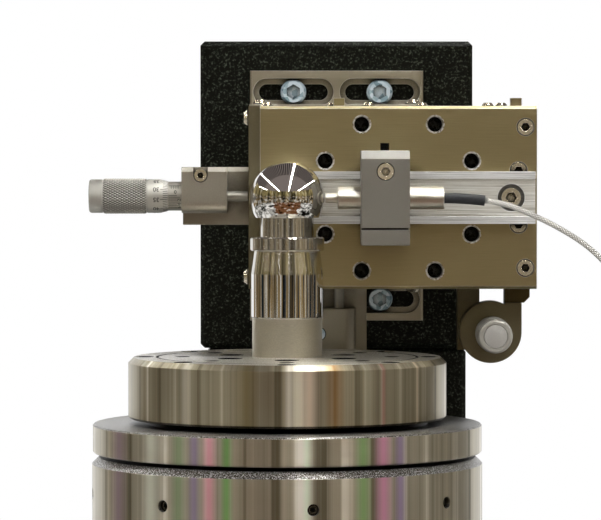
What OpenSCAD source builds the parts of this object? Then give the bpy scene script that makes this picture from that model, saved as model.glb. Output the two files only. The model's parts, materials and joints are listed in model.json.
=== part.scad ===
// Nano-metrology rig: an air-bearing spindle turns a mirror ball, and a three-axis micrometer
// stage on a granite column holds a displacement probe against it.
// +Z is up, the spindle axis is X = Y = 0, and Z = 0 is the underside of the base slab.

/* [Granite] */
// Thickness of the base slab
slab_h = 40; // [30:1:60]
// Slab edge to the left of the spindle axis
slab_left = 105; // [98:1:130]
// Slab edge to the right of the spindle axis
slab_right = 150; // [146:1:180]
// Slab edge in front of the spindle axis
slab_front = 108; // [106:1:130]
// Slab behind the rear of the block
slab_rear = 12; // [4:1:40]
// Width of the block that carries the stages
block_w = 126.6; // [116:0.2:140]
// Depth of the block
block_d = 70; // [60:1:90]
// Height of the block
block_h = 142.8; // [138:0.2:170]
// Underside of the block below the probe axis
block_drop = 71.1; // [70:0.1:74]
// How far the lower column stands in from the block
column_inset = 2.8; // [1:0.1:5]
// Bevel along the granite edges
granite_bevel = 2; // [1:0.5:3]

/* [Spindle] */
// Diameter of the housing
housing_d = 167.8; // [150:0.2:172]
// Height of the housing
housing_h = 100; // [90:1:120]
// Bevel round the top of the housing
housing_bevel = 3; // [1:0.5:5]
// Gap between the housing's shoulder and the flange
housing_gap = 1.8; // [1:0.1:3]
// Diameter of the rotor shaft
shaft_d = 80; // [60:1:90]
// Air film between rotor and housing
air_film = 0.05; // [0.02:0.01:0.08]
// Diameter of the lower thrust plate
thrust_d = 123; // [110:1:130]
// Thickness of the lower thrust plate
thrust_h = 10; // [8:0.5:14]
// How far the flange ring stands in from the housing
flange_inset = 0.3; // [0.1:0.1:2]
// Thickness of the flange ring
flange_h = 12.2; // [10:0.2:16]
// Height of the boss under the platter
platter_gap = 2.4; // [1.6:0.1:4]
// Diameter of the platter
platter_d = 136.8; // [132:0.2:150]
// Thickness of the platter
platter_h = 26.1; // [22:0.1:32]
// Bevel round the top of the platter
platter_bevel = 2.3; // [1:0.1:3]
// Pitch circle of the tapped holes in the platter
platter_pcd = 90; // [86:1:100]

/* [Ball target] */
// Diameter of the post on the platter
post_d = 30.1; // [26:0.1:36]
// Height of the post
post_h = 16.9; // [12:0.1:24]
// Diameter of the target's foot
foot_d = 31; // [26:0.1:32]
// Height of the target's foot
foot_h = 18.8; // [14:0.1:26]
// Height of the taper above the foot
taper_h = 10; // [6:0.1:16]
// Diameter at the top of the taper
taper_d = 28.2; // [24:0.1:30]
// Diameter of the collar
collar_d = 31.8; // [28:0.1:33]
// Height of the collar
collar_h = 5.9; // [4:0.1:9]
// Diameter of the neck under the ball
neck_d = 22.8; // [18:0.1:26]
// Diameter of the ball
ball_d = 32; // [28:0.1:33]
// Ball centre above the collar
ball_rise = 16.7; // [15:0.1:18]

/* [Stages] */
// Width of each stage, across its travel
stage_w = 80; // [76:0.5:90]
// Height of each stage, from mounting plane to face
stage_h = 32; // [30:0.5:36]
// Thickness of a stage's base plate
plate_t = 10; // [8:0.5:11]
// Thickness of a carriage's web
web_t = 11; // [10:0.5:13]
// Thickness of a carriage's side walls
wall_t = 10; // [9:0.5:11]
// Width of a roller rail
rail_w = 7; // [6:0.5:7.5]
// Gap between the two rails of a pair
rail_gap = 1; // [0.8:0.1:1.4]
// Diameter of the crossed rollers
roller_d = 3; // [2.5:0.1:3.4]
// Width of the bar on the X carriage's face
bar_width = 22.8; // [20:0.2:24]
// Thickness of that bar between its lips
bar_t = 4.2; // [3.8:0.1:5]
// Pitch of the tapped holes in a carriage's face
hole_pitch = 32; // [30:0.5:33]
// Diameter of those holes
hole_d = 6.6; // [5:0.1:7]
// Thickness of a carriage's end plate
end_t = 5; // [4:0.5:6]
// Length of the X carriage
x_len = 121; // [100:1:130]
// Length of the Y carriage
y_len = 50; // [44:1:56]
// Length of the Z carriage between its end plates
z_len = 74; // [62:1:76]
// Length of the Z base plate
z_plate_l = 115.5; // [114:0.5:124]
// Right end of the X carriage from the spindle axis
x_right = 109; // [105:0.5:114]
// Middle of the Z stage from the spindle axis
z_mid = 22.4; // [20:0.2:24]
// Face of the X carriage behind the spindle axis
face_y = 24; // [23:0.5:30]
// Thickness of the plate between the Y and X stages
front_t = 10; // [8:0.5:12]
// Thickness of the angle bracket between the Z and Y stages
bracket_t = 10; // [8:0.5:11]
// Room between front plate and angle bracket
bracket_room = 16; // [14:0.5:20]
// Width of the Y stage's foot bracket, beside the Z stage
foot_t = 12; // [10:0.5:13]

/* [Micrometers] */
// Diameter of the thimble
thimble_d = 15.2; // [14.6:0.1:17]
// Length of the thimble
thimble_l = 34.7; // [33:0.1:38]
// Diameter of the graduated sleeve
sleeve_d = 12.8; // [12:0.1:13.2]
// Length of sleeve in view at rest
sleeve_show = 6.2; // [6:0.1:8]
// Diameter of the spindle
spindle_d = 4.4; // [3:0.1:5]
// Diameter of the clamped stem
stem_d = 10; // [8:0.1:11]
// Length of the clamp block
clamp_l = 19.8; // [16:0.1:24]
// Clamp block to end plate, at rest
clamp_gap = 9.6; // [9:0.1:14]
// Micrometer axis above the mounting plane
axis_w = 20; // [19:0.5:22]
// Y micrometer to the right of the spindle axis
y_axis_x = 90.5; // [90:0.1:93]
// Y micrometer below the probe axis
y_axis_drop = 60.3; // [59:0.1:64]

/* [Probe] */
// Diameter of the probe's body
probe_d = 9.6; // [8:0.1:11]
// Length of the probe's body
probe_l = 45.7; // [42:0.1:52]
// Diameter of the sensing tip
tip_d = 4.4; // [3:0.1:6]
// Length of the sensing tip
tip_l = 5.4; // [4:0.1:8]
// Gap between the tip and the ball
tip_gap = 0.3; // [0.3:0.1:1]
// Left side of the probe clamp from the spindle axis
holder_x = 31.7; // [29:0.1:36]
// Width of the probe clamp
holder_w = 20.7; // [18:0.1:24]
// Height of the probe clamp above the probe axis
holder_up = 20.4; // [18:0.1:24]
// Height of the probe clamp below the probe axis
holder_down = 20.2; // [18:0.1:24]
// Front of the probe clamp before the probe axis
holder_front = 12; // [10:0.1:16]
// Length of the cable boot
boot_l = 17.6; // [12:0.1:24]
// Diameter of the cable boot
boot_d = 4.6; // [3.6:0.1:6]
// Diameter of the cable
cable_d = 2.3; // [1.8:0.1:2.6]

/* [Hidden] */
$fn = 64;

// Clearances
eps = 0.02;          // a seat or a threaded hole, on the radius
run_fit = 0.04;      // a turning or sliding fit, on the radius
over = 1;            // how far a cut runs past the face it opens
head_room = 0.8;     // of a counterbore over its screw's head
thread_l = 8;        // of a screw in the piece it holds to

// Heights up the spindle
housing_z = slab_h;
land_z = housing_z + housing_h + housing_gap - air_film;
flange_z = housing_z + housing_h + housing_gap;
boss_z = flange_z + flange_h;
platter_z = boss_z + platter_gap;
table_z = platter_z + platter_h;
foot_z = table_z + post_h;
taper_z = foot_z + foot_h;
collar_z = taper_z + taper_h;
ball_z = collar_z + collar_h + ball_rise;
flange_d = housing_d - 2 * flange_inset;
flange_edge = 0.6;
rotor_bore = 24;
thrust_room = 6;     // under the thrust plate
thrust_z = housing_z + thrust_room;
land_d = 124;        // air-bearing land on top of the housing
shaft_z = thrust_z + thrust_h;
post_stud_d = 10;
post_stud_l = 10;
set_drop = 15.5;     // of the housing's set screws below its top
set_hole_l = 8;
set_screw_l = 5;
set_first = -82.5;   // turn of the first of them, in degrees

// Stage cross-section: v runs across the travel, w stands off the mounting plane
half_w = stage_w / 2;
wall_v = half_w - wall_t;
outer_rail_v = wall_v - rail_w;
inner_rail_v = outer_rail_v - rail_gap - rail_w;
roller_v = outer_rail_v - rail_gap / 2;
web_w = stage_h - web_t;
skirt_w = plate_t + 0.5;
bar_w = web_w - 1;
inner_rail_top = web_w - 0.5;
outer_rail_foot = plate_t + 1.5;
roller_w = (plate_t + web_w) / 2;
groove = roller_d + 2 * eps;
edge_bevel = 1.2;
end_top = stage_h - 2;
end_screw_v = wall_v + wall_t / 2;
end_screw_w = (skirt_w + end_top) / 2;
roller_pitch = 8;
relief_w = 8;
travel_out = 5.5;     // of a spindle from its rest
travel_in = 7.5;
rail_room = 0.8;      // between a rail and an end plate at the end of the travel
x_rail_u0 = rail_room + travel_out - x_len / 2;
z_rail_u0 = rail_room + travel_out - z_len / 2;
z_rail_u1 = z_len / 2 - travel_in - rail_room;
hole_bevel = 0.45;
face_hole_l = web_t - 1;
end_screw_l = 9;

// Where the stages stand
x_back = face_y + stage_h;
front_back = x_back + front_t;
z_face = front_back + bracket_room + bracket_t;
block_y = z_face + stage_h;
x_mid = x_right - x_len / 2;
y_back = x_right - stage_h;
y_mid = front_back + y_len / 2;
y_base_u0 = 9 - y_len / 2;
y_base_u1 = y_len / 2 + 2;
z_bolt_u = 48;
z_bolt_v = 20;

// Granite
block_z = ball_z - block_drop;
insert_d = 12;
insert_l = 20;
column_y = block_y + column_inset;
slab_back = block_y + block_d + slab_rear;
base_bolt_d = 8;
base_bolt_head = 13;
base_bolt_sink = 14;
base_bolt_grip = slab_h - base_bolt_sink;
base_bolt_thread = 14;
housing_bolt_r = (thrust_d + housing_d) / 4;

// Micrometers: along x, from the thimble side of the clamp block at 0 to the spindle's tip
tip_x = clamp_l + clamp_gap;
sleeve_in = 18;
thimble_wall = 5;
thimble_bore = sleeve_d + 4 * run_fit;
thimble_x1 = -sleeve_show;
thimble_x0 = thimble_x1 - thimble_l;
thimble_edge = 0.8;
thimble_nose = 3.4;
thimble_r = thimble_d / 2 - 0.2;
knurl_r = thimble_d / 2 + 0.2;
knurl_x0 = thimble_x0 + 6.4;
knurl_x1 = thimble_x0 + 25.2;
spindle_x0 = thimble_x0 + 2;
spindle_edge = 0.5;
x_mic_v = 0.5;        // the micrometers' axes beside the middle of their stages
z_mic_v = -1.1;
x_clamp_u = -x_len / 2 - end_t - tip_x;
z_clamp_u = -z_len / 2 - end_t - tip_x;
arm_half = 12.8;
arm_bevel = 2;
arm_tongue_l = 15;    // over the Z base plate
arm_tongue_t = 4;
jaw_up = 12.8;
jaw_down = 7.4;
jaw_top = 30;
jaw_round = 5;
jaw_slit = 1;
clamp_screw_u = 0.42 * clamp_l;
clamp_screw_v = 9.2;
clamp_screw_l = 14;
y_plate_t = 12;
y_plate_r = 13.8;
y_axis_z = ball_z - y_axis_drop;
y_clamp_y = front_back - y_plate_t;
lug_y = y_clamp_y + tip_x;
lug_t = 11;
tab_x0 = y_axis_x + 6.3;
tab_x1 = x_right - 1;
tab_z = ball_z - half_w - 7.2;

// Probe and clamp
holder_mid = holder_x + holder_w / 2;
bar_x0 = 11;          // left end of the bar, behind the ball
bar_end = 1;          // bar to the right end of the carriage
bar_sink_d = 11.8;
lip_w = 3.2;
lip_h = 1.6;
lip_gap = 0.2;
bar_floor_y = face_y - bar_t;
holder_back = bar_floor_y - lip_h - lip_gap;
holder_screw_z = 11.4;
slit_z = -13.6;
slit_h = 0.9;
cap_bevel = 3.6;
probe_x0 = ball_d / 2 + tip_gap;
body_x0 = probe_x0 + tip_l;
body_x1 = body_x0 + probe_l;

// Screws, as diameter, head diameter and head height
m6 = [6, 10, 6];
m5 = [5, 8.5, 5];
m4 = [4, 7, 4];
m3 = [3, 5.5, 3];
low_m5 = [5, 8.5, 2.8];
low_m4 = [4, 7, 2.8];
round_m4 = [4, 7, 2.2];
round_m3 = [3, 5.2, 1.6];
wide_m6 = [6, 11.6, 4.2];
face_bolt = [hole_d - 2 * eps, hole_d + 4, hole_d];

steel = "#b9b4a8";
dark_steel = "#8d8879";
granite = "#20211f";
zinc = "#c9d2d6";
matt_alloy = "#9b9a97";

// The face holes of a carriage, as far along the travel as the carriage is long
function face_holes(len) = [
    for (p = [[hole_pitch / 2, hole_pitch], [hole_pitch, hole_pitch / 2]], i = [-1, 1], j = [-1, 1])
        if (p[0] + hole_d < len / 2) [i * p[0], j * p[1]]
];

// Frames of the three stages: x is the travel, y across it and z off the mounting plane
module at_x() translate([x_mid, x_back, ball_z]) rotate([90, 0, 0]) children();
module at_y() translate([y_back, y_mid, ball_z]) rotate([90, 0, 90]) children();
module at_z() translate([z_mid, block_y, ball_z]) rotate([90, 0, 0]) rotate([0, 0, 90]) children();

// Frames of the three micrometers
module mic_x() at_x() translate([x_clamp_u, x_mic_v, axis_w]) children();
module mic_z() at_z() translate([z_clamp_u, z_mic_v, axis_w]) children();
module mic_y() translate([y_axis_x, y_clamp_y, y_axis_z]) rotate([0, 0, 90]) children();

// A profile drawn as (v, w), run along the travel
module along(u0, u1) translate([u0, 0, 0]) rotate([90, 0, 90]) linear_extrude(u1 - u0) children();

// A turned shape about x
module turned() rotate([0, 90, 0]) children();

// A box with its edges bevelled, standing on z = 0, between two corners
module bevelled(x0, x1, y0, y1, h, bevel) {
    module outline(a, b) polygon([
        [bevel, 0], [a - bevel, 0], [a, bevel], [a, b - bevel],
        [a - bevel, b], [bevel, b], [0, b - bevel], [0, bevel]
    ]);
    w = x1 - x0;
    d = y1 - y0;
    translate([x0, y0, 0]) intersection() {
        linear_extrude(h) outline(w, d);
        translate([0, d, 0]) rotate([90, 0, 0]) linear_extrude(d) outline(w, h);
        rotate([90, 0, 90]) linear_extrude(w) outline(d, h);
    }
}

// A socket screw: the head stands on z = 0 and the shank runs down
module socket_screw(size, l) {
    difference() {
        union() {
            cylinder(d = size[1], h = size[2]);
            translate([0, 0, -l]) cylinder(d = size[0], h = l + over / 2);
        }
        translate([0, 0, size[2] / 2]) cylinder(d = size[0], h = size[2], $fn = 6);
    }
}

// The hole for a socket screw, with room for its head
module screw_hole(size, l, sink = 0) {
    translate([0, 0, -l - over]) cylinder(d = size[0] + 2 * eps, h = l + 2 * over);
    if (sink > 0) cylinder(d = size[1] + head_room, h = sink);
}

module at_corners(x, y) for (i = [-1, 1], j = [-1, 1]) translate([i * x, j * y, 0]) children();

// Stage pieces, in a stage's own frame
module base_solid(plate_u0, plate_u1, bar_u0, bar_u1) {
    along(plate_u0, plate_u1) difference() {
        translate([-half_w, 0]) square([stage_w, plate_t]);
        for (s = [-1, 1]) translate([s * half_w, plate_t]) rotate(45) square(edge_bevel, center = true);
    }
    along(bar_u0, bar_u1) difference() {
        translate([-inner_rail_v, plate_t - over]) square([2 * inner_rail_v, bar_w - plate_t + over]);
        translate([-relief_w / 2, plate_t + 2]) square([relief_w, bar_w]);
    }
}

module carriage_solid(len, ends) difference() {
    along(-len / 2, len / 2) difference() {
        translate([-half_w, skirt_w]) square([stage_w, stage_h - skirt_w]);
        translate([-wall_v, skirt_w - over]) square([2 * wall_v, web_w - skirt_w + over]);
        for (s = [-1, 1]) translate([s * half_w, stage_h]) rotate(45)
            square(edge_bevel * sqrt(2), center = true);
    }
    for (p = face_holes(len)) translate([p[0], p[1], stage_h]) {
        translate([0, 0, -face_hole_l]) cylinder(d = hole_d, h = face_hole_l + over);
        translate([0, 0, -hole_bevel])
            cylinder(d1 = hole_d, d2 = hole_d + 4 * hole_bevel, h = 2 * hole_bevel);
    }
    for (s = ends, j = [-1, 1]) translate([s * len / 2, j * end_screw_v, end_screw_w])
        turned() cylinder(d = m4[0] + 2 * eps, h = 2 * end_screw_l, center = true);
}

module inner_rails(u0, u1) for (s = [-1, 1]) along(u0, u1) scale([s, 1]) difference() {
    translate([inner_rail_v, plate_t]) square([rail_w, inner_rail_top - plate_t]);
    translate([roller_v, roller_w]) rotate(45) square(groove, center = true);
}

module outer_rails(u0, u1) for (s = [-1, 1]) along(u0, u1) scale([s, 1]) difference() {
    translate([outer_rail_v, outer_rail_foot]) square([rail_w, web_w - outer_rail_foot]);
    translate([roller_v, roller_w]) rotate(45) square(groove, center = true);
}

// Crossed rollers in their cage, centred on u = mid
module roller_rows(len, mid) {
    n = floor(len / roller_pitch);
    cage_t = rail_gap / 2;
    cage_h = 2 * roller_d;
    window = 1.5 * roller_d;
    for (s = [-1, 1]) translate([mid, s * roller_v, roller_w]) {
        difference() {
            cube([n * roller_pitch, cage_t, cage_h], center = true);
            for (i = [0 : n - 1]) translate([(i - (n - 1) / 2) * roller_pitch, 0, 0])
                rotate([90, 0, 0]) cylinder(d = window, h = 2 * over, center = true);
        }
        for (i = [0 : n - 1]) translate([(i - (n - 1) / 2) * roller_pitch, 0, 0])
            rotate([i % 2 == 0 ? 45 : -45, 0, 0]) cylinder(d = roller_d, h = 0.9 * roller_d, center = true);
    }
}

// End plate on the outside of u, facing side s
module end_plate(u, s) {
    plate_u = s > 0 ? u : u - end_t;
    difference() {
        translate([plate_u, -half_w, skirt_w]) cube([end_t, stage_w, end_top - skirt_w]);
        for (j = [-1, 1]) translate([plate_u, j * end_screw_v, end_screw_w])
            turned() cylinder(d = m4[0] + 2 * eps, h = 4 * end_t, center = true);
    }
}

// The two screws of an end plate
module end_screws(u, s) for (j = [-1, 1]) translate([u + s * end_t, j * end_screw_v, end_screw_w])
    rotate([0, s * 90, 0]) round_screw(round_m4, end_t + end_screw_l - 1);

// A low round-headed screw
module round_screw(size, l) rotate_extrude() polygon([
    [0, -l], [size[0] / 2, -l], [size[0] / 2, 0], [size[1] / 2, 0], [size[1] / 2, size[2] / 3],
    [size[1] / 3, size[2]], [size[0] / 4, size[2]], [size[0] / 4, size[2] / 2], [0, size[2] / 2]
]);

// Micrometer pieces, in a micrometer's own frame
module mic_sleeve_solid() turned() difference() {
    union() {
        translate([0, 0, -sleeve_show - sleeve_in]) cylinder(d = sleeve_d, h = sleeve_show + sleeve_in);
        cylinder(d = stem_d, h = clamp_l);
    }
    translate([0, 0, -sleeve_show - sleeve_in - over])
        cylinder(d = spindle_d + 2 * run_fit, h = sleeve_show + sleeve_in + clamp_l + 2 * over);
}

module mic_spindle_solid() turned() rotate_extrude() polygon([
    [0, spindle_x0], [spindle_d / 2, spindle_x0], [spindle_d / 2, tip_x - spindle_edge],
    [spindle_d / 2 - spindle_edge, tip_x], [0, tip_x]
]);

module mic_thimble_solid() turned() rotate_extrude() polygon([
    [0, thimble_x0], [thimble_r - thimble_edge, thimble_x0], [thimble_r, thimble_x0 + thimble_edge],
    [thimble_r, knurl_x0], [knurl_r, knurl_x0], [knurl_r, knurl_x1],
    [thimble_r, knurl_x1], [thimble_r, thimble_x1 - thimble_nose],
    [thimble_bore / 2 + run_fit, thimble_x1], [thimble_bore / 2, thimble_x1],
    [thimble_bore / 2, thimble_x0 + thimble_wall], [spindle_d / 2 + run_fit, thimble_x0 + thimble_wall],
    [spindle_d / 2 + run_fit, spindle_x0 - run_fit], [0, spindle_x0 - run_fit]
]);

// The arm's section, bevelled along one edge
module arm_profile() polygon([
    [-arm_half, 0], [arm_half, 0], [arm_half, plate_t - arm_bevel], [arm_half - arm_bevel, plate_t],
    [-arm_half, plate_t]
]);

// The clamp block's section, bevelled along one edge and rounded along the other
module jaw_profile() {
    polygon([
        [jaw_round - jaw_down, plate_t - over], [jaw_up, plate_t - over], [jaw_up, jaw_top - arm_bevel],
        [jaw_up - arm_bevel, jaw_top], [jaw_round - jaw_down, jaw_top]
    ]);
    translate([-jaw_down, plate_t - over]) square([2 * jaw_round, jaw_top - jaw_round - plate_t + over]);
    translate([jaw_round - jaw_down, jaw_top - jaw_round]) circle(r = jaw_round);
}

// Clamp block on an arm: u is counted from the block's thimble side, the arm ends at arm_u
module mic_bracket_solid(arm_u) difference() {
    head_w = m3[1] + head_room;
    union() {
        along(0, arm_u) arm_profile();
        along(0, clamp_l) jaw_profile();
    }
    translate([-over, 0, axis_w]) turned() cylinder(d = stem_d + 2 * eps, h = clamp_l + 2 * over);
    translate([-over, 0, axis_w - jaw_slit / 2]) cube([clamp_l + 2 * over, jaw_up + over, jaw_slit]);
    translate([clamp_screw_u, clamp_screw_v, jaw_top - m3[2]]) {
        screw_hole(m3, jaw_top - plate_t, m3[2] + over);
        translate([-head_w / 2, 0, 0]) cube([head_w, jaw_up, m3[2] + over]);
    }
}

module mic_clamp_screw() translate([clamp_screw_u, clamp_screw_v, jaw_top - m3[2]])
    socket_screw(m3, clamp_screw_l);

// The arm's tongue, let into the Z base plate
module arm_tongue() translate([-z_plate_l / 2, z_mic_v, 0]) intersection() {
    along(-over, arm_tongue_l) arm_profile();
    translate([-over, -arm_half, plate_t - arm_tongue_t]) cube([arm_tongue_l + over, 2 * arm_half, plate_t]);
}

// Granite and spindle
module granite_base() color(granite) difference() {
    bevelled(-slab_left, slab_right, -slab_front, slab_back, slab_h, granite_bevel);
    base_bolt_places() {
        translate([0, 0, -over]) cylinder(d = base_bolt_d + 2, h = slab_h + 2 * over);
        translate([0, 0, -over]) cylinder(d = base_bolt_head + 3, h = base_bolt_sink + over);
    }
}

module base_bolt_places() {
    for (a = [45 : 90 : 315]) rotate(a) translate([housing_bolt_r, 0, 0]) children();
    for (i = [-1, 1], j = [-1, 1])
        translate([z_mid + i * block_w / 4, block_y + block_d / 2 + j * block_d / 5, 0]) children();
}

module base_bolts() color(zinc) base_bolt_places() translate([0, 0, base_bolt_sink]) rotate([180, 0, 0])
    socket_screw([base_bolt_d, base_bolt_head, base_bolt_d], base_bolt_grip + base_bolt_thread);

module column_bolt_holes() base_bolt_places() translate([0, 0, slab_h - over])
    cylinder(d = base_bolt_d + 2 * eps, h = base_bolt_thread + 2 * over);

module granite_column() color(granite) difference() {
    translate([0, 0, slab_h]) bevelled(
        z_mid - block_w / 2 + column_inset, z_mid + block_w / 2 - column_inset,
        column_y, block_y + block_d - column_inset, block_z - slab_h, granite_bevel
    );
    column_bolt_holes();
}

module insert_places() at_z() at_corners(z_bolt_u, z_bolt_v) children();

module granite_block() color(granite) difference() {
    translate([0, 0, block_z]) bevelled(
        z_mid - block_w / 2, z_mid + block_w / 2, block_y, block_y + block_d, block_h, granite_bevel
    );
    insert_places() translate([0, 0, -insert_l]) cylinder(d = insert_d + 2 * eps, h = insert_l + over);
}

module granite_inserts() color(zinc) insert_places() difference() {
    translate([0, 0, -insert_l]) cylinder(d = insert_d, h = insert_l);
    translate([0, 0, -insert_l + 3]) cylinder(d = m6[0] + 2 * eps, h = insert_l);
}

module set_screw_places() for (k = [0 : 7]) rotate(set_first + 45 * k)
    translate([housing_d / 2, 0, housing_z + housing_h - set_drop]) turned() children();

module spindle_housing() color(steel) difference() {
    translate([0, 0, housing_z]) rotate_extrude() polygon([
        [shaft_d / 2 + air_film, thrust_room + thrust_h + air_film],
        [thrust_d / 2 + 1, thrust_room + thrust_h + air_film], [thrust_d / 2 + 1, 0],
        [housing_d / 2 - 0.5, 0], [housing_d / 2, 0.5], [housing_d / 2, housing_h - housing_bevel],
        [housing_d / 2 - housing_bevel, housing_h], [land_d / 2, housing_h],
        [land_d / 2, land_z - housing_z], [shaft_d / 2 + air_film, land_z - housing_z]
    ]);
    set_screw_places() translate([0, 0, -set_hole_l]) cylinder(d = m5[0], h = set_hole_l + over);
    column_bolt_holes();
}

module housing_set_screws() color(dark_steel) set_screw_places()
    translate([0, 0, over - set_hole_l]) difference() {
        cylinder(d = m5[0] - 2 * eps, h = set_screw_l);
        translate([0, 0, set_screw_l / 2]) cylinder(d = m5[0] / 2, h = set_screw_l, $fn = 6);
    }

module rotor_shaft() color(steel) difference() {
    translate([0, 0, shaft_z]) cylinder(d = shaft_d, h = flange_z - shaft_z);
    translate([0, 0, shaft_z - over]) cylinder(d = rotor_bore, h = flange_z - shaft_z + 2 * over);
    rotor_bolt_places() screw_hole(m6, platter_bolt_l);
}

module thrust_plate() color(steel) difference() {
    translate([0, 0, thrust_z]) cylinder(d = thrust_d, h = thrust_h);
    translate([0, 0, thrust_z - over]) cylinder(d = rotor_bore, h = thrust_h + 2 * over);
}

module flange_ring() color(steel) difference() {
    translate([0, 0, flange_z]) rotate_extrude() polygon([
        [rotor_bore / 2, 0], [flange_d / 2 - flange_edge, 0], [flange_d / 2, flange_edge],
        [flange_d / 2, flange_h - flange_edge], [flange_d / 2 - flange_edge, flange_h],
        [rotor_bore / 2, flange_h]
    ]);
    rotor_bolt_places() screw_hole(m6, platter_bolt_l);
}

// Six bolts clamp the platter and the flange ring to the shaft
platter_bolt_r = 28;
platter_bolt_sink = m6[2] + 2;
platter_bolt_thread = 14;
platter_bolt_l = platter_h - platter_bolt_sink + platter_gap + flange_h + platter_bolt_thread;
module rotor_bolt_places() for (a = [30 : 60 : 330]) rotate(a)
    translate([platter_bolt_r, 0, table_z - platter_bolt_sink]) children();

outer_hole_d = 8.2;
outer_hole_r = platter_d / 2 - platter_bevel - outer_hole_d / 2 - 0.6;
outer_hole_l = 12;
inner_hole_l = 14;
boss_r = platter_d / 2 - 8;
foot_bevel = 1;
ring_r = outer_hole_r - outer_hole_d / 2 - 0.8;   // groove inside the outer holes
ring_w = 1.2;
ring_depth = 0.8;
module platter() color(steel) difference() {
    r = platter_d / 2;
    translate([0, 0, platter_z]) rotate_extrude() polygon([
        [0, -platter_gap], [boss_r, -platter_gap], [boss_r, 0], [r - foot_bevel, 0], [r, foot_bevel],
        [r, platter_h - platter_bevel], [r - platter_bevel, platter_h], [ring_r, platter_h],
        [ring_r, platter_h - ring_depth], [ring_r - ring_w, platter_h - ring_depth],
        [ring_r - ring_w, platter_h], [0, platter_h]
    ]);
    for (a = [0 : 45 : 315]) rotate(a) {
        translate([platter_pcd / 2, 0, table_z - inner_hole_l]) cylinder(d = hole_d, h = inner_hole_l + over);
        translate([outer_hole_r, 0, table_z - outer_hole_l])
            cylinder(d = outer_hole_d, h = outer_hole_l + over);
    }
    rotor_bolt_places() screw_hole(m6, platter_bolt_l, platter_bolt_sink + over);
    translate([0, 0, table_z - post_stud_l - over])
        cylinder(d = post_stud_d + 2 * eps, h = post_stud_l + 2 * over);
}

module platter_bolts() color(dark_steel) rotor_bolt_places() socket_screw(m6, platter_bolt_l - 1);

module post() color(steel) difference() {
    union() {
        translate([0, 0, table_z]) cylinder(d = post_d, h = post_h);
        translate([0, 0, table_z - post_stud_l]) cylinder(d = post_stud_d, h = post_stud_l + over);
    }
    translate([0, 0, foot_z - post_stud_l]) cylinder(d = post_stud_d + 2 * eps, h = post_stud_l + over);
}

module ball_target() color("#d8d9da") {
    rotate_extrude() polygon([
        [0, foot_z - post_stud_l + 1], [post_stud_d / 2, foot_z - post_stud_l + 1], [post_stud_d / 2, foot_z],
        [foot_d / 2 - 0.4, foot_z], [foot_d / 2, foot_z + 0.4], [foot_d / 2, taper_z],
        [taper_d / 2, collar_z], [collar_d / 2 - 0.4, collar_z], [collar_d / 2, collar_z + 0.4],
        [collar_d / 2, collar_z + collar_h - 0.6], [collar_d / 2 - 0.6, collar_z + collar_h],
        [neck_d / 2, collar_z + collar_h], [neck_d / 2, ball_z - ball_d / 4], [0, ball_z - ball_d / 4]
    ]);
    translate([0, 0, ball_z]) sphere(d = ball_d);
}

// Z stage, on the granite block
slot_l = 32;
slot_w = 7.4;
slot_sink = 6;
slot_step = 5.2;
washer_t = 1.2;
washer_d = 12;
module z_slot(w, z0) translate([0, 0, z0]) linear_extrude(plate_t) {
    square([w, slot_l - slot_w], center = true);
    for (s = [-1, 1]) translate([0, s * (slot_l - slot_w) / 2]) circle(d = w);
}

module z_base() color(steel) at_z() difference() {
    base_solid(-z_plate_l / 2, z_plate_l / 2, z_rail_u0, z_rail_u1);
    at_corners(z_bolt_u, z_bolt_v) {
        z_slot(slot_w, -over);
        z_slot(slot_w + slot_step, plate_t - slot_sink);
    }
    translate([-z_plate_l / 2 - over, z_mic_v - arm_half, plate_t - arm_tongue_t])
        cube([arm_tongue_l + over, 2 * arm_half, plate_t]);
}

module z_base_bolts() color(zinc) {
    at_z() at_corners(z_bolt_u, z_bolt_v) translate([0, 0, plate_t - slot_sink]) {
        difference() {
            cylinder(d = washer_d, h = washer_t);
            translate([0, 0, -over]) cylinder(d = m6[0] + 2 * eps, h = washer_t + 2 * over);
        }
        translate([0, 0, washer_t]) wide_screw(wide_m6, washer_t + plate_t - slot_sink + insert_l / 2);
    }
    at_z() translate([z_clamp_u, z_mic_v, 0]) mic_clamp_screw();
}

// A screw with a wide head, bevelled round its top, and a wide socket
module wide_screw(size, l) difference() {
    r = size[1] / 2;
    h = size[2];
    union() {
        translate([0, 0, -l]) cylinder(d = size[0], h = l + over / 2);
        rotate_extrude() polygon([[0, 0], [r, 0], [r, 0.6 * h], [0.84 * r, h], [0, h]]);
    }
    translate([0, 0, 0.3 * h]) cylinder(r = 0.6 * r, h = h, $fn = 6);
}

module z_base_rails() color(dark_steel) at_z() inner_rails(z_rail_u0, z_rail_u1);
module z_rollers() color("#c7a463") at_z()
    roller_rows(z_rail_u1 - z_rail_u0 - travel_in, (z_rail_u0 + z_rail_u1) / 2);
module z_carriage() color(steel) at_z() carriage_solid(z_len, [-1, 1]);
module z_carriage_rails() color(dark_steel) at_z() outer_rails(-z_len / 2, z_len / 2);
module z_end_plates() color(steel) at_z() for (s = [-1, 1]) end_plate(s * z_len / 2, s);
module z_mic_bracket() color(matt_alloy) at_z() {
    translate([z_clamp_u, z_mic_v, 0]) mic_bracket_solid(-z_plate_l / 2 - z_clamp_u);
    arm_tongue();
}
module z_mic_sleeve() color(steel) mic_z() mic_sleeve_solid();
module z_spindle() color(steel) mic_z() mic_spindle_solid();
module z_thimble() color(steel) mic_z() mic_thimble_solid();

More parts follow.
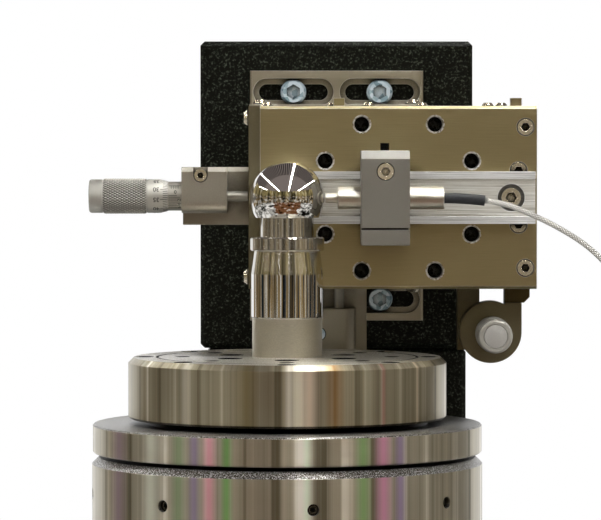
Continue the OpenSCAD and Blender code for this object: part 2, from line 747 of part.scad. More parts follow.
// Angle bracket and Y stage, beside the Z stage
bracket_h = stage_w - 4;
foot_x = y_back - foot_t;
bracket_x0 = z_mid - half_w;
y_base_y0 = y_mid + y_base_u0;
y_base_y1 = y_mid + y_base_u1;
module bracket_face_places() at_z() at_corners(hole_pitch / 2, hole_pitch)
    translate([0, 0, stage_h + bracket_t - face_bolt[2]]) children();
foot_screw_u = 12;
foot_screw_v = 26;
foot_shift = (y_base_u0 + y_base_u1) / 2;
foot_screw_l = foot_t - m5[2] + thread_l;
module foot_places() at_y() at_corners(foot_screw_u, foot_screw_v)
    translate([foot_shift, 0, m5[2] - foot_t]) rotate([180, 0, 0]) children();

module y_bracket() color(matt_alloy) difference() {
    translate([0, 0, ball_z - bracket_h / 2]) linear_extrude(bracket_h) {
        translate([bracket_x0, z_face - bracket_t]) square([y_back - bracket_x0, bracket_t]);
        translate([foot_x, y_base_y0]) square([foot_t, y_base_y1 - y_base_y0]);
    }
    bracket_face_places() screw_hole(face_bolt, bracket_t, face_bolt[2] + over);
    foot_places() screw_hole(m5, foot_t, m5[2] + over);
}

module bracket_screws() color(dark_steel) {
    bracket_face_places() socket_screw(face_bolt, bracket_t - face_bolt[2] + face_hole_l - 1);
    foot_places() socket_screw(m5, foot_screw_l);
    at_z() for (s = [-1, 1]) end_screws(s * z_len / 2, s);
}

module y_base() color(steel) difference() {
    at_y() base_solid(y_base_u0, y_base_u1, y_base_u0, y_base_u1);
    foot_places() screw_hole(m5, foot_screw_l);
}

lug_half = 10.5;
lug_foot = y_axis_z - lug_half + over;
lug_arm = y_axis_z + lug_half;
module y_lug() color(matt_alloy) translate([0, lug_y + lug_t, 0]) rotate([90, 0, 0]) linear_extrude(lug_t) {
    translate([y_back, lug_foot]) square([plate_t, ball_z - half_w - lug_foot]);
    translate([y_back, lug_foot]) square([y_axis_x + lug_half - y_back, lug_arm - lug_foot]);
}

module y_base_rails() color(dark_steel) at_y() inner_rails(y_base_u0, y_base_u1);
module y_rollers() color("#c7a463") at_y()
    roller_rows(y_len / 2 - y_base_u0 - travel_in, (y_len / 2 + y_base_u0) / 2);
module y_carriage() color(steel) difference() {
    at_y() carriage_solid(y_len, []);
    front_places() screw_hole(m5, front_screw_l);
}
module y_carriage_rails() color(dark_steel) at_y() outer_rails(1 - y_len / 2, y_len / 2);

module y_mic_bracket() color(matt_alloy) difference() {
    translate([0, front_back, 0]) rotate([90, 0, 0]) linear_extrude(y_plate_t) {
        translate([y_axis_x, y_axis_z]) circle(r = y_plate_r);
        translate([tab_x0, y_axis_z]) square([y_axis_x + y_plate_r - tab_x0, tab_z - y_axis_z]);
    }
    mic_y() translate([-over, 0, 0]) turned() cylinder(d = stem_d + 2 * eps, h = clamp_l + over);
}

module y_mic_sleeve() color(steel) mic_y() mic_sleeve_solid();
module y_spindle() color(steel) mic_y() mic_spindle_solid();
module y_thimble() color(steel) mic_y() mic_thimble_solid();

// Front plate on the end of the Y carriage, which carries the X stage
front_x0 = x_mid - x_len / 4;
tab_bevel = 2.5;
front_screw_v = half_w / 2;
front_screw_step = 5.5;
front_screw_l = front_t - m5[2] + thread_l;
x_base_screw_u = x_len / 6;
x_base_screw_l = bar_w - m5[2] + thread_l;
x_base_screw_v = (relief_w / 2 + inner_rail_v) / 2;
module front_places() for (i = [-1, 1], j = [-1, 1])
    translate([x_right - web_t / 2, x_back + m5[2], ball_z + i * front_screw_v + j * front_screw_step])
    rotate([90, 0, 0]) children();
module x_base_places() at_x() at_corners(x_base_screw_u, x_base_screw_v)
    translate([0, 0, bar_w - m5[2]]) children();

module front_plate() color(matt_alloy) difference() {
    translate([0, front_back, 0]) rotate([90, 0, 0]) linear_extrude(front_t) {
        translate([front_x0, ball_z - half_w]) square([x_right - front_x0, stage_w]);
        polygon([
            [tab_x0, ball_z - half_w], [tab_x0, tab_z], [tab_x1 - tab_bevel, tab_z],
            [tab_x1, tab_z + tab_bevel], [tab_x1, ball_z - half_w]
        ]);
    }
    front_places() screw_hole(m5, front_t, m5[2] + over);
    x_base_places() screw_hole(m5, x_base_screw_l);
}

module adapter_screws() color(dark_steel) {
    front_places() socket_screw(m5, front_screw_l);
    x_base_places() socket_screw(m5, x_base_screw_l);
    at_x() translate([x_clamp_u, x_mic_v, 0]) mic_clamp_screw();
}

// X stage
module x_base() color(steel) difference() {
    at_x() base_solid(-x_len / 2, x_len / 2, x_rail_u0, x_len / 2);
    x_base_places() screw_hole(m5, bar_w, m5[2] + over);
}

module x_base_rails() color(dark_steel) at_x() inner_rails(x_rail_u0, x_len / 2);
module x_rollers() color("#c7a463") at_x()
    roller_rows(x_len / 2 - x_rail_u0 - travel_in, (x_len / 2 + x_rail_u0) / 2);
module x_carriage_rails() color(dark_steel) at_x() outer_rails(-x_len / 2, x_len / 2);
module x_end_plate() color(steel) at_x() end_plate(-x_len / 2, -1);
module x_mic_bracket() color(matt_alloy) at_x() translate([x_clamp_u, x_mic_v, 0])
    mic_bracket_solid(-x_len / 2 - x_clamp_u);
module x_mic_sleeve() color(steel) mic_x() mic_sleeve_solid();
module x_spindle() color(steel) mic_x() mic_spindle_solid();
module x_thimble() color(steel) mic_x() mic_thimble_solid();

// Screws in the X carriage's face, two of them half under the bar, and the bar's own screw
face_screws = [[x_len / 2 - 5, half_w - 9.2], [x_len / 2 - 8, bar_width / 2 + 0.4]];
face_screw_sink = m4[2] + 0.1;
face_screw_l = web_t - face_screw_sink - 0.5;
bar_screw_u = x_len / 2 - 11.5;
bar_screw_l = thread_l + bar_t - low_m5[2];
module face_screw_places() at_x() for (p = face_screws, j = [-1, 1])
    translate([p[0], j * p[1], stage_h - face_screw_sink]) children();
module bar_screw_place() at_x() translate([bar_screw_u, 0, stage_h + bar_t - low_m5[2]]) children();

// Low screws along the carriage's top side, and two stops, as shares of its length
gib_at = [-0.475, -0.2355, -0.105, 0.087, 0.3265, 0.376];
gib_w = 21;
gib_l = 2.6;
stop_at = [-0.214, 0.4255];
stop_w = 27;
stop_size = [4.9, 3.5, 5];
module gib_places() at_x() for (k = gib_at) translate([k * x_len, half_w, gib_w]) rotate([-90, 0, 0])
    children();
module travel_stops() color(steel) at_x() for (k = stop_at)
    translate([k * x_len - stop_size[0] / 2, half_w, stop_w - stop_size[2] / 2]) cube(stop_size);

module x_carriage() color(steel) difference() {
    at_x() carriage_solid(x_len, [-1]);
    face_screw_places() screw_hole(m4, face_screw_l - over, face_screw_sink + over);
    bar_screw_place() screw_hole(low_m5, bar_screw_l);
    holder_places() screw_hole(low_m4, holder_screw_l, low_m4[2] + over);
    gib_places() screw_hole(round_m3, gib_l - over);
}

module carriage_screws() color(dark_steel) {
    face_screw_places() socket_screw(m4, face_screw_l);
    bar_screw_place() socket_screw(low_m5, bar_screw_l);
    gib_places() round_screw(round_m3, gib_l);
    at_x() end_screws(-x_len / 2, -1);
}

module mount_bar() color(steel) difference() {
    at_x() along(bar_x0 - x_mid, x_len / 2 - bar_end) {
        translate([-bar_width / 2, stage_h]) square([bar_width, bar_t]);
        for (s = [-1, 1]) translate([s * (bar_width - lip_w) / 2 - lip_w / 2, stage_h])
            square([lip_w, bar_t + lip_h]);
    }
    bar_screw_place() {
        screw_hole(low_m5, bar_screw_l);
        cylinder(d = bar_sink_d, h = low_m5[2] + over);
    }
    holder_places() screw_hole(low_m4, holder_screw_l);
}

// Probe clamp: a rear block on the bar and a front cap, with the probe between them
cap_gap = 0.6;
ledge_h = holder_down + slit_z;
cap_screw_l = holder_front + 8;
set_screw_d = 4;
set_screw_y = 6;
tongue_fit = 0.3;
holder_screw_l = web_t - low_m4[2] + bar_t + 6.6;
module cap_screw_place() translate([holder_mid, m4[2] - holder_front, ball_z + holder_screw_z])
    rotate([90, 0, 0]) children();
module holder_places() at_x() for (i = [-1, 1])
    translate([holder_mid - x_mid + i * holder_w / 4, 0, web_w + low_m4[2]]) rotate([180, 0, 0]) children();
module probe_bore() translate([holder_x - over, 0, ball_z]) turned()
    cylinder(d = probe_d + 2 * eps, h = holder_w + 2 * over);

module probe_clamp() color(matt_alloy) difference() {
    translate([holder_x, 0, ball_z]) rotate([90, 0, 90]) linear_extrude(holder_w) {
        translate([cap_gap / 2, -holder_down]) square([holder_back - cap_gap / 2, holder_down + holder_up]);
        translate([-holder_front, -holder_down]) square([holder_front + over, ledge_h]);
        translate([holder_back - over, -bar_width / 2 + lip_w + tongue_fit])
            square([bar_floor_y - holder_back + over, bar_width - 2 * (lip_w + tongue_fit)]);
    }
    probe_bore();
    cap_screw_place() screw_hole(m4, cap_screw_l);
    translate([holder_mid, set_screw_y, ball_z + holder_screw_z]) cylinder(d = set_screw_d, h = holder_up);
    holder_places() screw_hole(low_m4, holder_screw_l);
}

module clamp_cap() color(matt_alloy) difference() {
    translate([holder_x, 0, ball_z]) rotate([90, 0, 90]) linear_extrude(holder_w) polygon([
        [-holder_front, slit_z + slit_h], [-holder_front, holder_up - cap_bevel],
        [cap_bevel - holder_front, holder_up], [-cap_gap / 2, holder_up], [-cap_gap / 2, slit_z + slit_h]
    ]);
    probe_bore();
    cap_screw_place() screw_hole(m4, cap_screw_l, m4[2] + over);
}

module clamp_screws() {
    stud_l = holder_up - holder_screw_z + over;
    color(dark_steel) cap_screw_place() socket_screw(m4, cap_screw_l - over);
    color("#1b1b1b") translate([holder_mid, set_screw_y, ball_z + holder_screw_z + m4[0] / 2 + tongue_fit])
        difference() {
            cylinder(d = set_screw_d - 2 * eps, h = stud_l);
            translate([0, 0, stud_l - set_screw_d / 2])
                cylinder(d = set_screw_d / 2, h = set_screw_d, $fn = 6);
        }
    color(dark_steel) holder_places() socket_screw(low_m4, holder_screw_l);
}

module probe() color("#cfcdc6") translate([0, 0, ball_z]) turned() rotate_extrude() polygon([
    [0, probe_x0], [tip_d / 2, probe_x0], [tip_d / 2, body_x0], [probe_d / 2 - 0.3, body_x0],
    [probe_d / 2, body_x0 + 0.3], [probe_d / 2, body_x1 - 0.3], [probe_d / 2 - 0.3, body_x1], [0, body_x1]
]);

// The boot bends down a little, as an arc about a point below the probe
boot_bend = 140;
boot_turn = boot_l / boot_bend * 180 / PI;
module cable_boot() color("#2b2c2e") translate([body_x1, 0, ball_z - boot_bend]) rotate([90, 0, 0])
    rotate(90 - boot_turn) rotate_extrude(angle = boot_turn) translate([boot_bend, 0]) circle(d = boot_d);

// A tube of some sides along points, with each ring square to the path; ref is never along the path
function unit(v) = v / norm(v);
function heading(points, i) = unit(points[min(i + 1, len(points) - 1)] - points[max(i - 1, 0)]);
function ring(at, along, ref, r, sides) = let (a = unit(cross(along, ref)), b = cross(a, along))
    [for (k = [0.5 : sides]) at + r * (cos(360 * k / sides) * a + sin(360 * k / sides) * b)];

module tube(points, d, sides, ref) {
    n = len(points);
    r = d / 2 / cos(180 / sides);
    rings = [for (i = [0 : n - 1]) each ring(points[i], heading(points, i), ref, r, sides)];
    sides_faces = [
        for (i = [0 : n - 2], k = [0 : sides - 1])
            let (a = i * sides + k, b = i * sides + (k + 1) % sides)
            each [[a, b, b + sides], [a, b + sides, a + sides]]
    ];
    last = (n - 1) * sides;
    caps = [for (k = [1 : sides - 2]) each [[0, k + 1, k], [last, last + k, last + k + 1]]];
    polyhedron(rings, concat(sides_faces, caps));
}

// A smooth curve through points, with some steps between each two
function smooth(p, steps) = [
    for (i = [0 : len(p) - 2], j = [0 : steps - 1])
        let (t = j / steps, a = p[max(i - 1, 0)], b = p[i], c = p[i + 1], d = p[min(i + 2, len(p) - 1)])
        b + (c - a) * t / 2 + (a - 2.5 * b + 2 * c - d / 2) * t * t + (3 * b - a - 3 * c + d) * t * t * t / 2,
    p[len(p) - 1]
];

// The coil of spare cable lies on the slab, in layers that spiral in and out again
coil_r = 13.8;
coil_pitch = 2.8;
coil_turns = 14;
coil_layers = 4;
coil_steps = 24;
coil_mid = [126, -30];
layer_turns = coil_turns / coil_layers;
coil_out = coil_r + layer_turns * coil_pitch / 2;
coil_rest = 0.6;      // under the coil, for the tie that holds it together
coil_z = slab_h + coil_rest + cable_d / 2;
function in_and_out(t) = let (s = t % (2 * layer_turns)) s < layer_turns ? s : 2 * layer_turns - s;
function layer_at(t) =
    let (k = min(floor((t + layer_turns / 2) / layer_turns), coil_layers - 1), s = t - k * layer_turns)
    k == 0 ? 0 : k - 1 + min(max(2 * s + 0.5, 0), 1);
function coil_point(t) = let (r = coil_out - coil_pitch * in_and_out(t))
    [coil_mid[0] + r * cos(360 * t), coil_mid[1] - r * sin(360 * t), coil_z + coil_pitch * layer_at(t)];
coil_in = coil_point(0);
coil_end = coil_point(coil_turns);
coil_start = coil_in + [0, cable_d, 0];
tail = [[0, -3, 0], [0.2, -9, -0.1], [0.7, -17, -2.3], [1, -24, -4.4], [1, -28, -4.8]];
tail_end = coil_end + tail[len(tail) - 1] - [0, cable_d, 0];
coil_points = concat(
    [coil_start],
    [for (i = [0 : coil_turns * coil_steps]) coil_point(i / coil_steps)],
    smooth([for (p = tail) coil_end + p], 2),
    [tail_end]
);

// The least gap between two stretches of a tube that are well apart along it
function least_gap(p, d, apart) = min([
    for (i = [0 : len(p) - 1 - apart]) min([for (j = [i + apart : len(p) - 1]) norm(p[i] - p[j])])
]) - d;

// Free cable from the boot to the coil, as points on its centreline
cable_start = [body_x1 + boot_bend * sin(boot_turn), 0, ball_z - boot_bend * (1 - cos(boot_turn))];
cable_route = [
    [96, 0, 247.4], [107, 0, 242.8], [115.5, 0, 238.6], [124, 0, 233.6], [131, 0, 228.4], [137, 0, 222.4],
    [143, 0, 214], [148, 0, 202.5], [151.5, 1, 188], [153.5, 2, 170], [154, 4, 150], [153.5, 7, 128],
    [152.5, 9, 106], [151, 10.5, 86], [149, 10, 68], [147, 6, 53.5], [145.7, -3, 44.9], [145, -14, 42]
];
cable_bends = concat(
    [cable_start + cable_d * [cos(boot_turn), 0, -sin(boot_turn)]],
    cable_route,
    [coil_start + [0, cable_d, 0]]
);
cable_points = concat([cable_start], smooth(cable_bends, 3), [coil_start]);

module probe_cable() color("#d9d6cd") tube(cable_points, cable_d, 8, [1, 1, 1]);

module cable_coil() color("#d9d6cd") {
    echo(str("least gap of the coil to itself, mm: ", least_gap(coil_points, cable_d, coil_steps / 2)));
    tube(coil_points, cable_d, 6, [0, 0, 1]);
}

// A small coaxial plug on the end of the cable, along -Y
plug_l = 24;
plug_d = 9;
plug_r = plug_d / 2;
module cable_connector() color(zinc) translate(tail_end) rotate([90, 0, 0])
    rotate_extrude() polygon([
        [0, 0], [cable_d, 0], [cable_d + 0.4, 6], [plug_r - 0.7, 6], [plug_r - 0.7, 13], [plug_r, 13],
        [plug_r, plug_l - 0.5], [plug_r - 0.5, plug_l], [plug_r - 1.2, plug_l], [plug_r - 1.2, 16],
        [0.8, 16], [0.8, plug_l - 3], [0, plug_l - 3]
    ]);

granite_base();
granite_column();
granite_block();
granite_inserts();
base_bolts();
spindle_housing();
housing_set_screws();
rotor_shaft();
thrust_plate();
flange_ring();
platter();
platter_bolts();
post();
ball_target();
z_base();
z_base_bolts();
z_base_rails();
z_rollers();
z_carriage();
z_carriage_rails();
z_end_plates();
z_mic_bracket();
z_mic_sleeve();
z_spindle();
z_thimble();
y_bracket();
bracket_screws();
y_base();
y_base_rails();
y_lug();
y_rollers();
y_carriage();
y_carriage_rails();
y_mic_bracket();
y_mic_sleeve();
y_spindle();
y_thimble();
front_plate();
adapter_screws();
x_base();
x_base_rails();
x_rollers();
x_carriage();
x_carriage_rails();
x_end_plate();
x_mic_bracket();
x_mic_sleeve();
x_spindle();
x_thimble();
mount_bar();
travel_stops();
carriage_screws();
probe_clamp();
clamp_cap();
clamp_screws();
probe();
cable_boot();
probe_cable();
cable_coil();
cable_connector();
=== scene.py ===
import json
import math

import bpy
from mathutils import Matrix, Vector


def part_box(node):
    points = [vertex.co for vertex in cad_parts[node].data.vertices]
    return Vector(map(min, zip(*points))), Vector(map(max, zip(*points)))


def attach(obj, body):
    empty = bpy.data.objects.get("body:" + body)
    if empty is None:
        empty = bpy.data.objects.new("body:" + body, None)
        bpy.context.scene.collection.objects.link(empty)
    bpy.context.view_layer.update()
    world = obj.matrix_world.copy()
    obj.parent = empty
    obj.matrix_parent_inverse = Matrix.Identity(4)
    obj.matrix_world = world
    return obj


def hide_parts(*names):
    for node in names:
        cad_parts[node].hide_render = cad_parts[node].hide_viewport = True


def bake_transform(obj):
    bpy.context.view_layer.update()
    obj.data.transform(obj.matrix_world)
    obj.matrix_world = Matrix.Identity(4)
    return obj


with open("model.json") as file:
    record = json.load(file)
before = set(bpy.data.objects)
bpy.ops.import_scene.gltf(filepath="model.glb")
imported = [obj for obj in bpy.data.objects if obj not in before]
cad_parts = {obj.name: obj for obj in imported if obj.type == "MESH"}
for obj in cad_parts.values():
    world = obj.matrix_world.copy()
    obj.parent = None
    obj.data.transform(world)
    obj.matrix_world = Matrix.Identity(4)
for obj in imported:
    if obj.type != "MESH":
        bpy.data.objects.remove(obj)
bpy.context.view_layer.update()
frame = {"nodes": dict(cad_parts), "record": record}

bl_info = {
    "name": "Nanopositioning stage",
    "version": (1, 0, 0),
    "blender": (4, 5, 0),
    "location": "3D View > Sidebar > Stage",
    "description": "Dresses a spindle and micrometer stage on black granite, with its probe cable and studio",
    "category": "Object",
}

MM = 0.001


def linear(code):
    """An sRGB hex value as linear red, green, blue and alpha."""
    parts = [int(code[i:i + 2], 16) / 255 for i in (1, 3, 5)]
    return [p / 12.92 if p <= 0.04045 else ((p + 0.055) / 1.055) ** 2.4 for p in parts] + [1.0]


def colour(name, description, code):
    return bpy.props.FloatVectorProperty(
        name=name, description=description, subtype="COLOR", size=4, min=0, max=1, default=linear(code))


def size(name, description, millimetres):
    return bpy.props.FloatProperty(
        name=name, description=description, unit="LENGTH", min=0, default=millimetres * MM, precision=5)


class RigColours(bpy.types.PropertyGroup):
    granite: colour("Granite", "Ground of the black granite", "#0a0b07")
    fleck: colour("Granite flecks", "Pale grains in the granite", "#51574b")
    # Also the brightest tone of the painted reflection bands on the housing
    turned: colour("Turned steel", "Spindle housing, flange and platter", "#f4f0e6")
    ground: colour("Ground steel", "Carriages and stage bases", "#bcaf88")
    plate: colour("Ground plate", "Slotted base plate of the rear stage", "#c6c1b4")
    bar: colour("Brushed bar", "Lips of the bar across the front carriage", "#fffdf8")
    bar_floor: colour("Bar floor", "Coarsely brushed floor of the bar", "#f4ead2")
    alloy: colour("Matt alloy", "Micrometer brackets", "#bcb8ae")
    # Darker by painted shade, for parts that stand in the shadow beneath the front carriage
    dull: colour("Alloy in painted shade", "Plates and brackets behind the front carriage", "#878069")
    clamp: colour("Blasted alloy", "Probe clamp", "#9f9d98")
    mirror: colour("Polished steel", "Ball and the foot of its stem", "#e9e7e4")
    stem: colour("Fine-turned steel", "Stem between the ball and its foot", "#d6d3cc")
    chrome: colour("Satin chrome", "Micrometers", "#a3a097")
    zinc: colour("Zinc plate", "Bolts of the rear stage", "#e4f4ff")
    screw: colour("Screw steel", "Socket screws", "#ece2cd")
    rubber: colour("Rubber", "Cable boot", "#2b2d32")
    braid: colour("Braid", "Plaited metal sheath of the cable", "#f6f4ee")
    ink: colour("Scale ink", "Lines and numbers of the scales", "#1a1917")
    floor: colour("Floor", "Plain floor of the studio", "#f4f3f1")


class RigSizes(bpy.types.PropertyGroup):
    cable: size("Cable", "Diameter of the braided cable", 2.3)
    knurl: size("Knurl", "Depth of the thimbles' knurl", 0.32)
    knurl_row: size("Knurl row", "Half the length of a diamond of the knurl", 1.04)
    tick: size("Scale line", "Width of a line on the scales", 0.24)
    digit: size("Scale digit", "Height of a digit on the scales", 2.0)
    fleck: size("Granite grain", "Width of a pale grain in the granite", 1.1)
    floor: size("Floor", "Radius of the studio floor", 950)


# Nodes and materials

def plug(tree, node, sockets):
    """Sets inputs of a node, by their names or in order, as values or as links."""
    for key, value in sockets.items() if isinstance(sockets, dict) else enumerate(sockets):
        if isinstance(value, bpy.types.NodeSocket):
            tree.links.new(value, node.inputs[key])
        else:
            node.inputs[key].default_value = value


def add(tree, kind, sockets=(), out=0, stops=(), **settings):
    """Adds a shader node and gives one of its outputs: sockets are its inputs, stops the places and colours
    of a colour ramp, and settings its attributes."""
    made = tree.nodes.new("ShaderNode" + kind)
    for name, value in settings.items():
        setattr(made, name, value)
    if stops:
        elements = made.color_ramp.elements
        while len(elements) < len(stops):
            elements.new(1)
        for element, (place, shade) in zip(elements, stops):
            element.position, element.color = place, shade
    plug(tree, made, sockets)
    return made.outputs[out]


def finish(name, shade, metallic, roughness, **more):
    """A new material with one shader: gives the material, its tree and the shader."""
    made = bpy.data.materials.new(name)
    made.use_nodes = True
    tree = made.node_tree
    shader = tree.nodes["Principled BSDF"]
    plug(tree, shader, {"Base Color": shade, "Metallic": metallic, "Roughness": roughness, **more})
    return made, tree, shader


def grey(value):
    return (value, value, value, 1)


def scaled(tree, steps):
    """Object coordinates, in pattern steps of so many millimetres in x, y and z."""
    place = add(tree, "TexCoord", out="Object")
    return add(tree, "Mapping", {"Vector": place, "Scale": [1 / (s * MM) for s in steps]})


def object_parts(tree):
    """The object coordinates as X, Y and Z."""
    return add(tree, "SeparateXYZ", [add(tree, "TexCoord", out="Object")]).node.outputs


def from_axis(tree):
    """The distance from the spindle axis."""
    flat = add(tree, "VectorMath", [add(tree, "TexCoord", out="Object"), (1, 1, 0)], operation="MULTIPLY")
    return add(tree, "VectorMath", [flat], "Value", operation="LENGTH")


def grain(tree, steps, detail, roughness=0.5):
    """A cloudy pattern with steps of so many millimetres in x, y and z."""
    return add(tree, "TexNoise", {"Vector": scaled(tree, steps), "Scale": 1, "Detail": detail,
                                  "Roughness": roughness})


def paint_hollow_shade(tree, shader, shade, reach=12, depths=(0.15, 0.32, 0.5)):
    """Sets a metal's colour with painted shade, dark down its holes, slots and sockets and in tight corners."""
    free = add(tree, "AmbientOcclusion", {"Distance": reach * MM}, "AO", samples=8)
    dark = add(tree, "ValToRGB", [free], stops=list(zip(depths, (grey(0.01), grey(0.3), grey(1)))))
    plug(tree, shader, {"Base Color": add(tree, "VectorMath", [shade, dark], operation="MULTIPLY")})


def painted_edge_highlights(tree, shade, width):
    """A colour with painted highlights that turn it white along the edges, some millimetres wide."""
    rounded = add(tree, "Bevel", {"Radius": width * MM}, samples=6)
    true = add(tree, "NewGeometry", out="Normal")
    same = add(tree, "VectorMath", [rounded, true], "Value", operation="DOT_PRODUCT")
    edge = add(tree, "MapRange", {"Value": same, "From Min": 0.995, "From Max": 0.93})
    return add(tree, "Mix", {0: edge, 6: shade, 7: grey(1)}, 2, data_type="RGBA")


def roughen(tree, shader, edge, height=None, depth=0, strength=1):
    """Rounds the edges to the eye, and lays a bump on the skin where it has a height. In millimetres."""
    skin = add(tree, "Bevel", {"Radius": edge * MM}, samples=4)
    if height is not None:
        skin = add(tree, "Bump", {"Height": height, "Strength": strength, "Distance": depth * MM, "Normal": skin})
    plug(tree, shader, {"Normal": skin})


def black_granite(colours, sizes):
    """Lapped black granite: near black, with fine pale grains and a dull polish."""
    made, tree, shader = finish("lapped_black_granite", colours.granite, 0, 0.3, **{"Specular IOR Level": 0.15})
    cloud = grain(tree, [sizes.fleck / MM] * 3, 4, 0.6)
    flecks = add(tree, "ValToRGB", [cloud], stops=[
        (0.5, colours.granite), (0.58, linear("#22251e")), (0.7, colours.fleck)])
    plug(tree, shader, {"Base Color": flecks})
    roughen(tree, shader, 1.2, cloud, 0.02, 0.1)
    return made


def half_turn_angle(tree):
    """The angle round the spindle axis, which runs from 0 to 1 over the front half and again over the back."""
    parts = object_parts(tree)
    back = add(tree, "Math", [parts["Y"], -1], operation="MULTIPLY")
    angle = add(tree, "Math", [parts["X"], back], operation="ARCTAN2")
    turns = add(tree, "Math", [angle, 1 / math.pi, 0.5], operation="MULTIPLY_ADD")
    return add(tree, "Math", [turns], operation="FRACT")


def lathe_sheen(tree, shader, amount):
    """Draws out what the metal mirrors up and down, as the rings left by the lathe tool do."""
    rings = add(tree, "Tangent", direction_type="RADIAL", axis="Z")
    plug(tree, shader, {"Anisotropic": amount, "Anisotropic Rotation": 0.25, "Tangent": rings})


def lathe_lines(tree, spacing):
    """Fine rings left by the lathe tool, drawn coarse enough to show."""
    return grain(tree, (60, 60, spacing), 3, 0.7)


def turned_steel(name, streaks, tones, skin, up_from, grit, sparkle_dark):
    """Turned stainless steel: fine rings smear what it mirrors up and down; bands and coloured streaks are painted
    reflections.
    Its top and bevels are duller, with painted light and glints. What stands nearer the axis than its skin is
    painted black as shade down a hole.
    Each streak is its angle from the front and its half width in degrees, and its colour."""
    made, tree, shader = finish(name, tones[-1], 1, 0.38)
    lathe_sheen(tree, shader, 0.75)
    half_turn = half_turn_angle(tree)
    # Painted reflections: bands of light and dark round the axis, then coloured streaks at set angles
    bands = add(tree, "TexNoise", {"W": half_turn, "Scale": 26, "Detail": 5, "Roughness": 0.6},
                noise_dimensions="1D")
    plain = add(tree, "ValToRGB", [bands], stops=list(zip((0.32, 0.46, 0.56, 0.68), tones)))
    stops = [((90 + angle + side) / 180, linear(code)[:3] + [alpha]) for angle, half, code in streaks
             for side, alpha in ((-half, 0), (0, 1), (half, 0))]
    lit = add(tree, "ValToRGB", [half_turn], stops=stops)
    streaked = add(tree, "Mix", {0: lit.node.outputs["Alpha"], 6: plain, 7: lit}, 2, data_type="RGBA")
    facing = add(tree, "SeparateXYZ", [add(tree, "TexCoord", out="Normal")], "Z")
    upward = add(tree, "MapRange", {"Value": facing, "From Min": up_from, "From Max": up_from + 0.1})
    # Painted shade: black down holes, nearer the axis than the skin, except on faces that look up
    outside = add(tree, "Math", [from_axis(tree), skin], operation="GREATER_THAN")
    clear_of_hole_shade = add(tree, "Math", [outside, upward], operation="MAXIMUM")
    # Painted light and glints on the top and bevels
    sparkle = add(tree, "ValToRGB", [grain(tree, [grit] * 3, 3)],
                  stops=[(0.5, linear(sparkle_dark)), (0.66, grey(0.9))])
    whole = add(tree, "Mix", {0: upward, 6: streaked, 7: sparkle}, 2, data_type="RGBA")
    paint_hollow_shade(tree, shader, add(tree, "VectorMath", [whole, clear_of_hole_shade], operation="MULTIPLY"))
    plug(tree, shader, {"Metallic": add(tree, "MapRange", {"Value": upward, "To Min": 1, "To Max": 0.7})})
    roughen(tree, shader, 0.4, lathe_lines(tree, 0.45), 0.02, 0.2)
    return made


def polished_steel(colours):
    """Lapped and polished steel: a mirror with the faintest bloom on it."""
    made, tree, shader = finish("polished_steel", colours.mirror, 1, 0.04)
    dust = grain(tree, [1.5] * 3, 4)
    dull = add(tree, "ValToRGB", [dust], stops=[(0.6, grey(0.03)), (0.75, grey(0.09))])
    plug(tree, shader, {"Roughness": dull})
    return made


def fine_turned_steel(colours):
    """Fine-turned steel of the stem: it still mirrors, but its rings draw what it mirrors up and down."""
    made, tree, shader = finish("fine_turned_steel", colours.stem, 1, 0.15)
    lathe_sheen(tree, shader, 0.8)
    lines = lathe_lines(tree, 0.3)
    dull = add(tree, "ValToRGB", [lines], stops=[(0.3, grey(0.12)), (0.7, grey(0.18))])
    plug(tree, shader, {"Roughness": dull})
    roughen(tree, shader, 0.15, lines, 0.003, 0.1)
    return made


HOLE_PITCH = 32 * MM
RING_RADIUS = 4.2 * MM


def painted_ring_glints(tree, shade, centre):
    """A colour with painted highlights and glints on the countersinks round the eight holes of a carriage's face,
    a pitch apart in one direction and two in the other."""
    place = add(tree, "TexCoord", out="Object")
    off = add(tree, "VectorMath", [place, centre], operation="SUBTRACT")
    flat = add(tree, "VectorMath", [off, (1, 0, 1)], operation="MULTIPLY")
    quarter = add(tree, "VectorMath", [flat], operation="ABSOLUTE")
    gaps = [add(tree, "VectorMath", [quarter, (x * HOLE_PITCH, 0, z * HOLE_PITCH)], "Value",
                operation="DISTANCE") for x, z in ((0.5, 1), (1, 0.5))]
    gap = add(tree, "Math", [gaps[0], gaps[1]], operation="MINIMUM")
    inside = add(tree, "MapRange", {"Value": gap, "From Min": RING_RADIUS, "From Max": 0.97 * RING_RADIUS})
    ring_glints = add(tree, "ValToRGB", [grain(tree, [1.2] * 3, 2)],
               stops=[(0.38, linear("#8d8468")), (0.52, grey(1))])
    return add(tree, "Mix", {0: inside, 6: shade, 7: ring_glints}, 2, data_type="RGBA")


def brushed(name, shade, roughness, along, across, depth=0.02, strength=0.3, edge=0.35, contrast=0.12,
            metallic=1, sunk=None, holes=None):
    """Metal with grinding or brushing lines along X, in steps along and across them in millimetres.
    Sunk is a place along Y and the colour of what lies behind it, holes the centre in XZ of the painted glints
    round the countersinks."""
    made, tree, shader = finish(name, shade, metallic, roughness)
    lines = grain(tree, (along, across, across), 4, 0.65)

    def lined(tone):
        dark = [c * (1 - contrast) for c in tone[:3]] + [1]
        pale = [min(1, c * (1 + contrast)) for c in tone[:3]] + [1]
        return add(tree, "ValToRGB", [lines], stops=[(0.35, dark), (0.65, pale)])

    shades = lined(shade)
    if sunk:
        below = add(tree, "Math", [object_parts(tree)["Y"], sunk[0]], operation="GREATER_THAN")
        shades = add(tree, "Mix", {0: below, 6: shades, 7: lined(sunk[1])}, 2, data_type="RGBA")
    # Painted glints round the countersinks of the holes
    if holes:
        shades = painted_ring_glints(tree, shades, holes)
    # Painted highlights along the edges and painted shade down the hollows
    paint_hollow_shade(tree, shader, painted_edge_highlights(tree, shades, 0.45))
    dull = add(tree, "ValToRGB", [lines], stops=[(0.3, grey(roughness - 0.05)), (0.7, grey(roughness + 0.06))])
    plug(tree, shader, {"Roughness": dull})
    roughen(tree, shader, edge, lines, depth, strength)
    return made


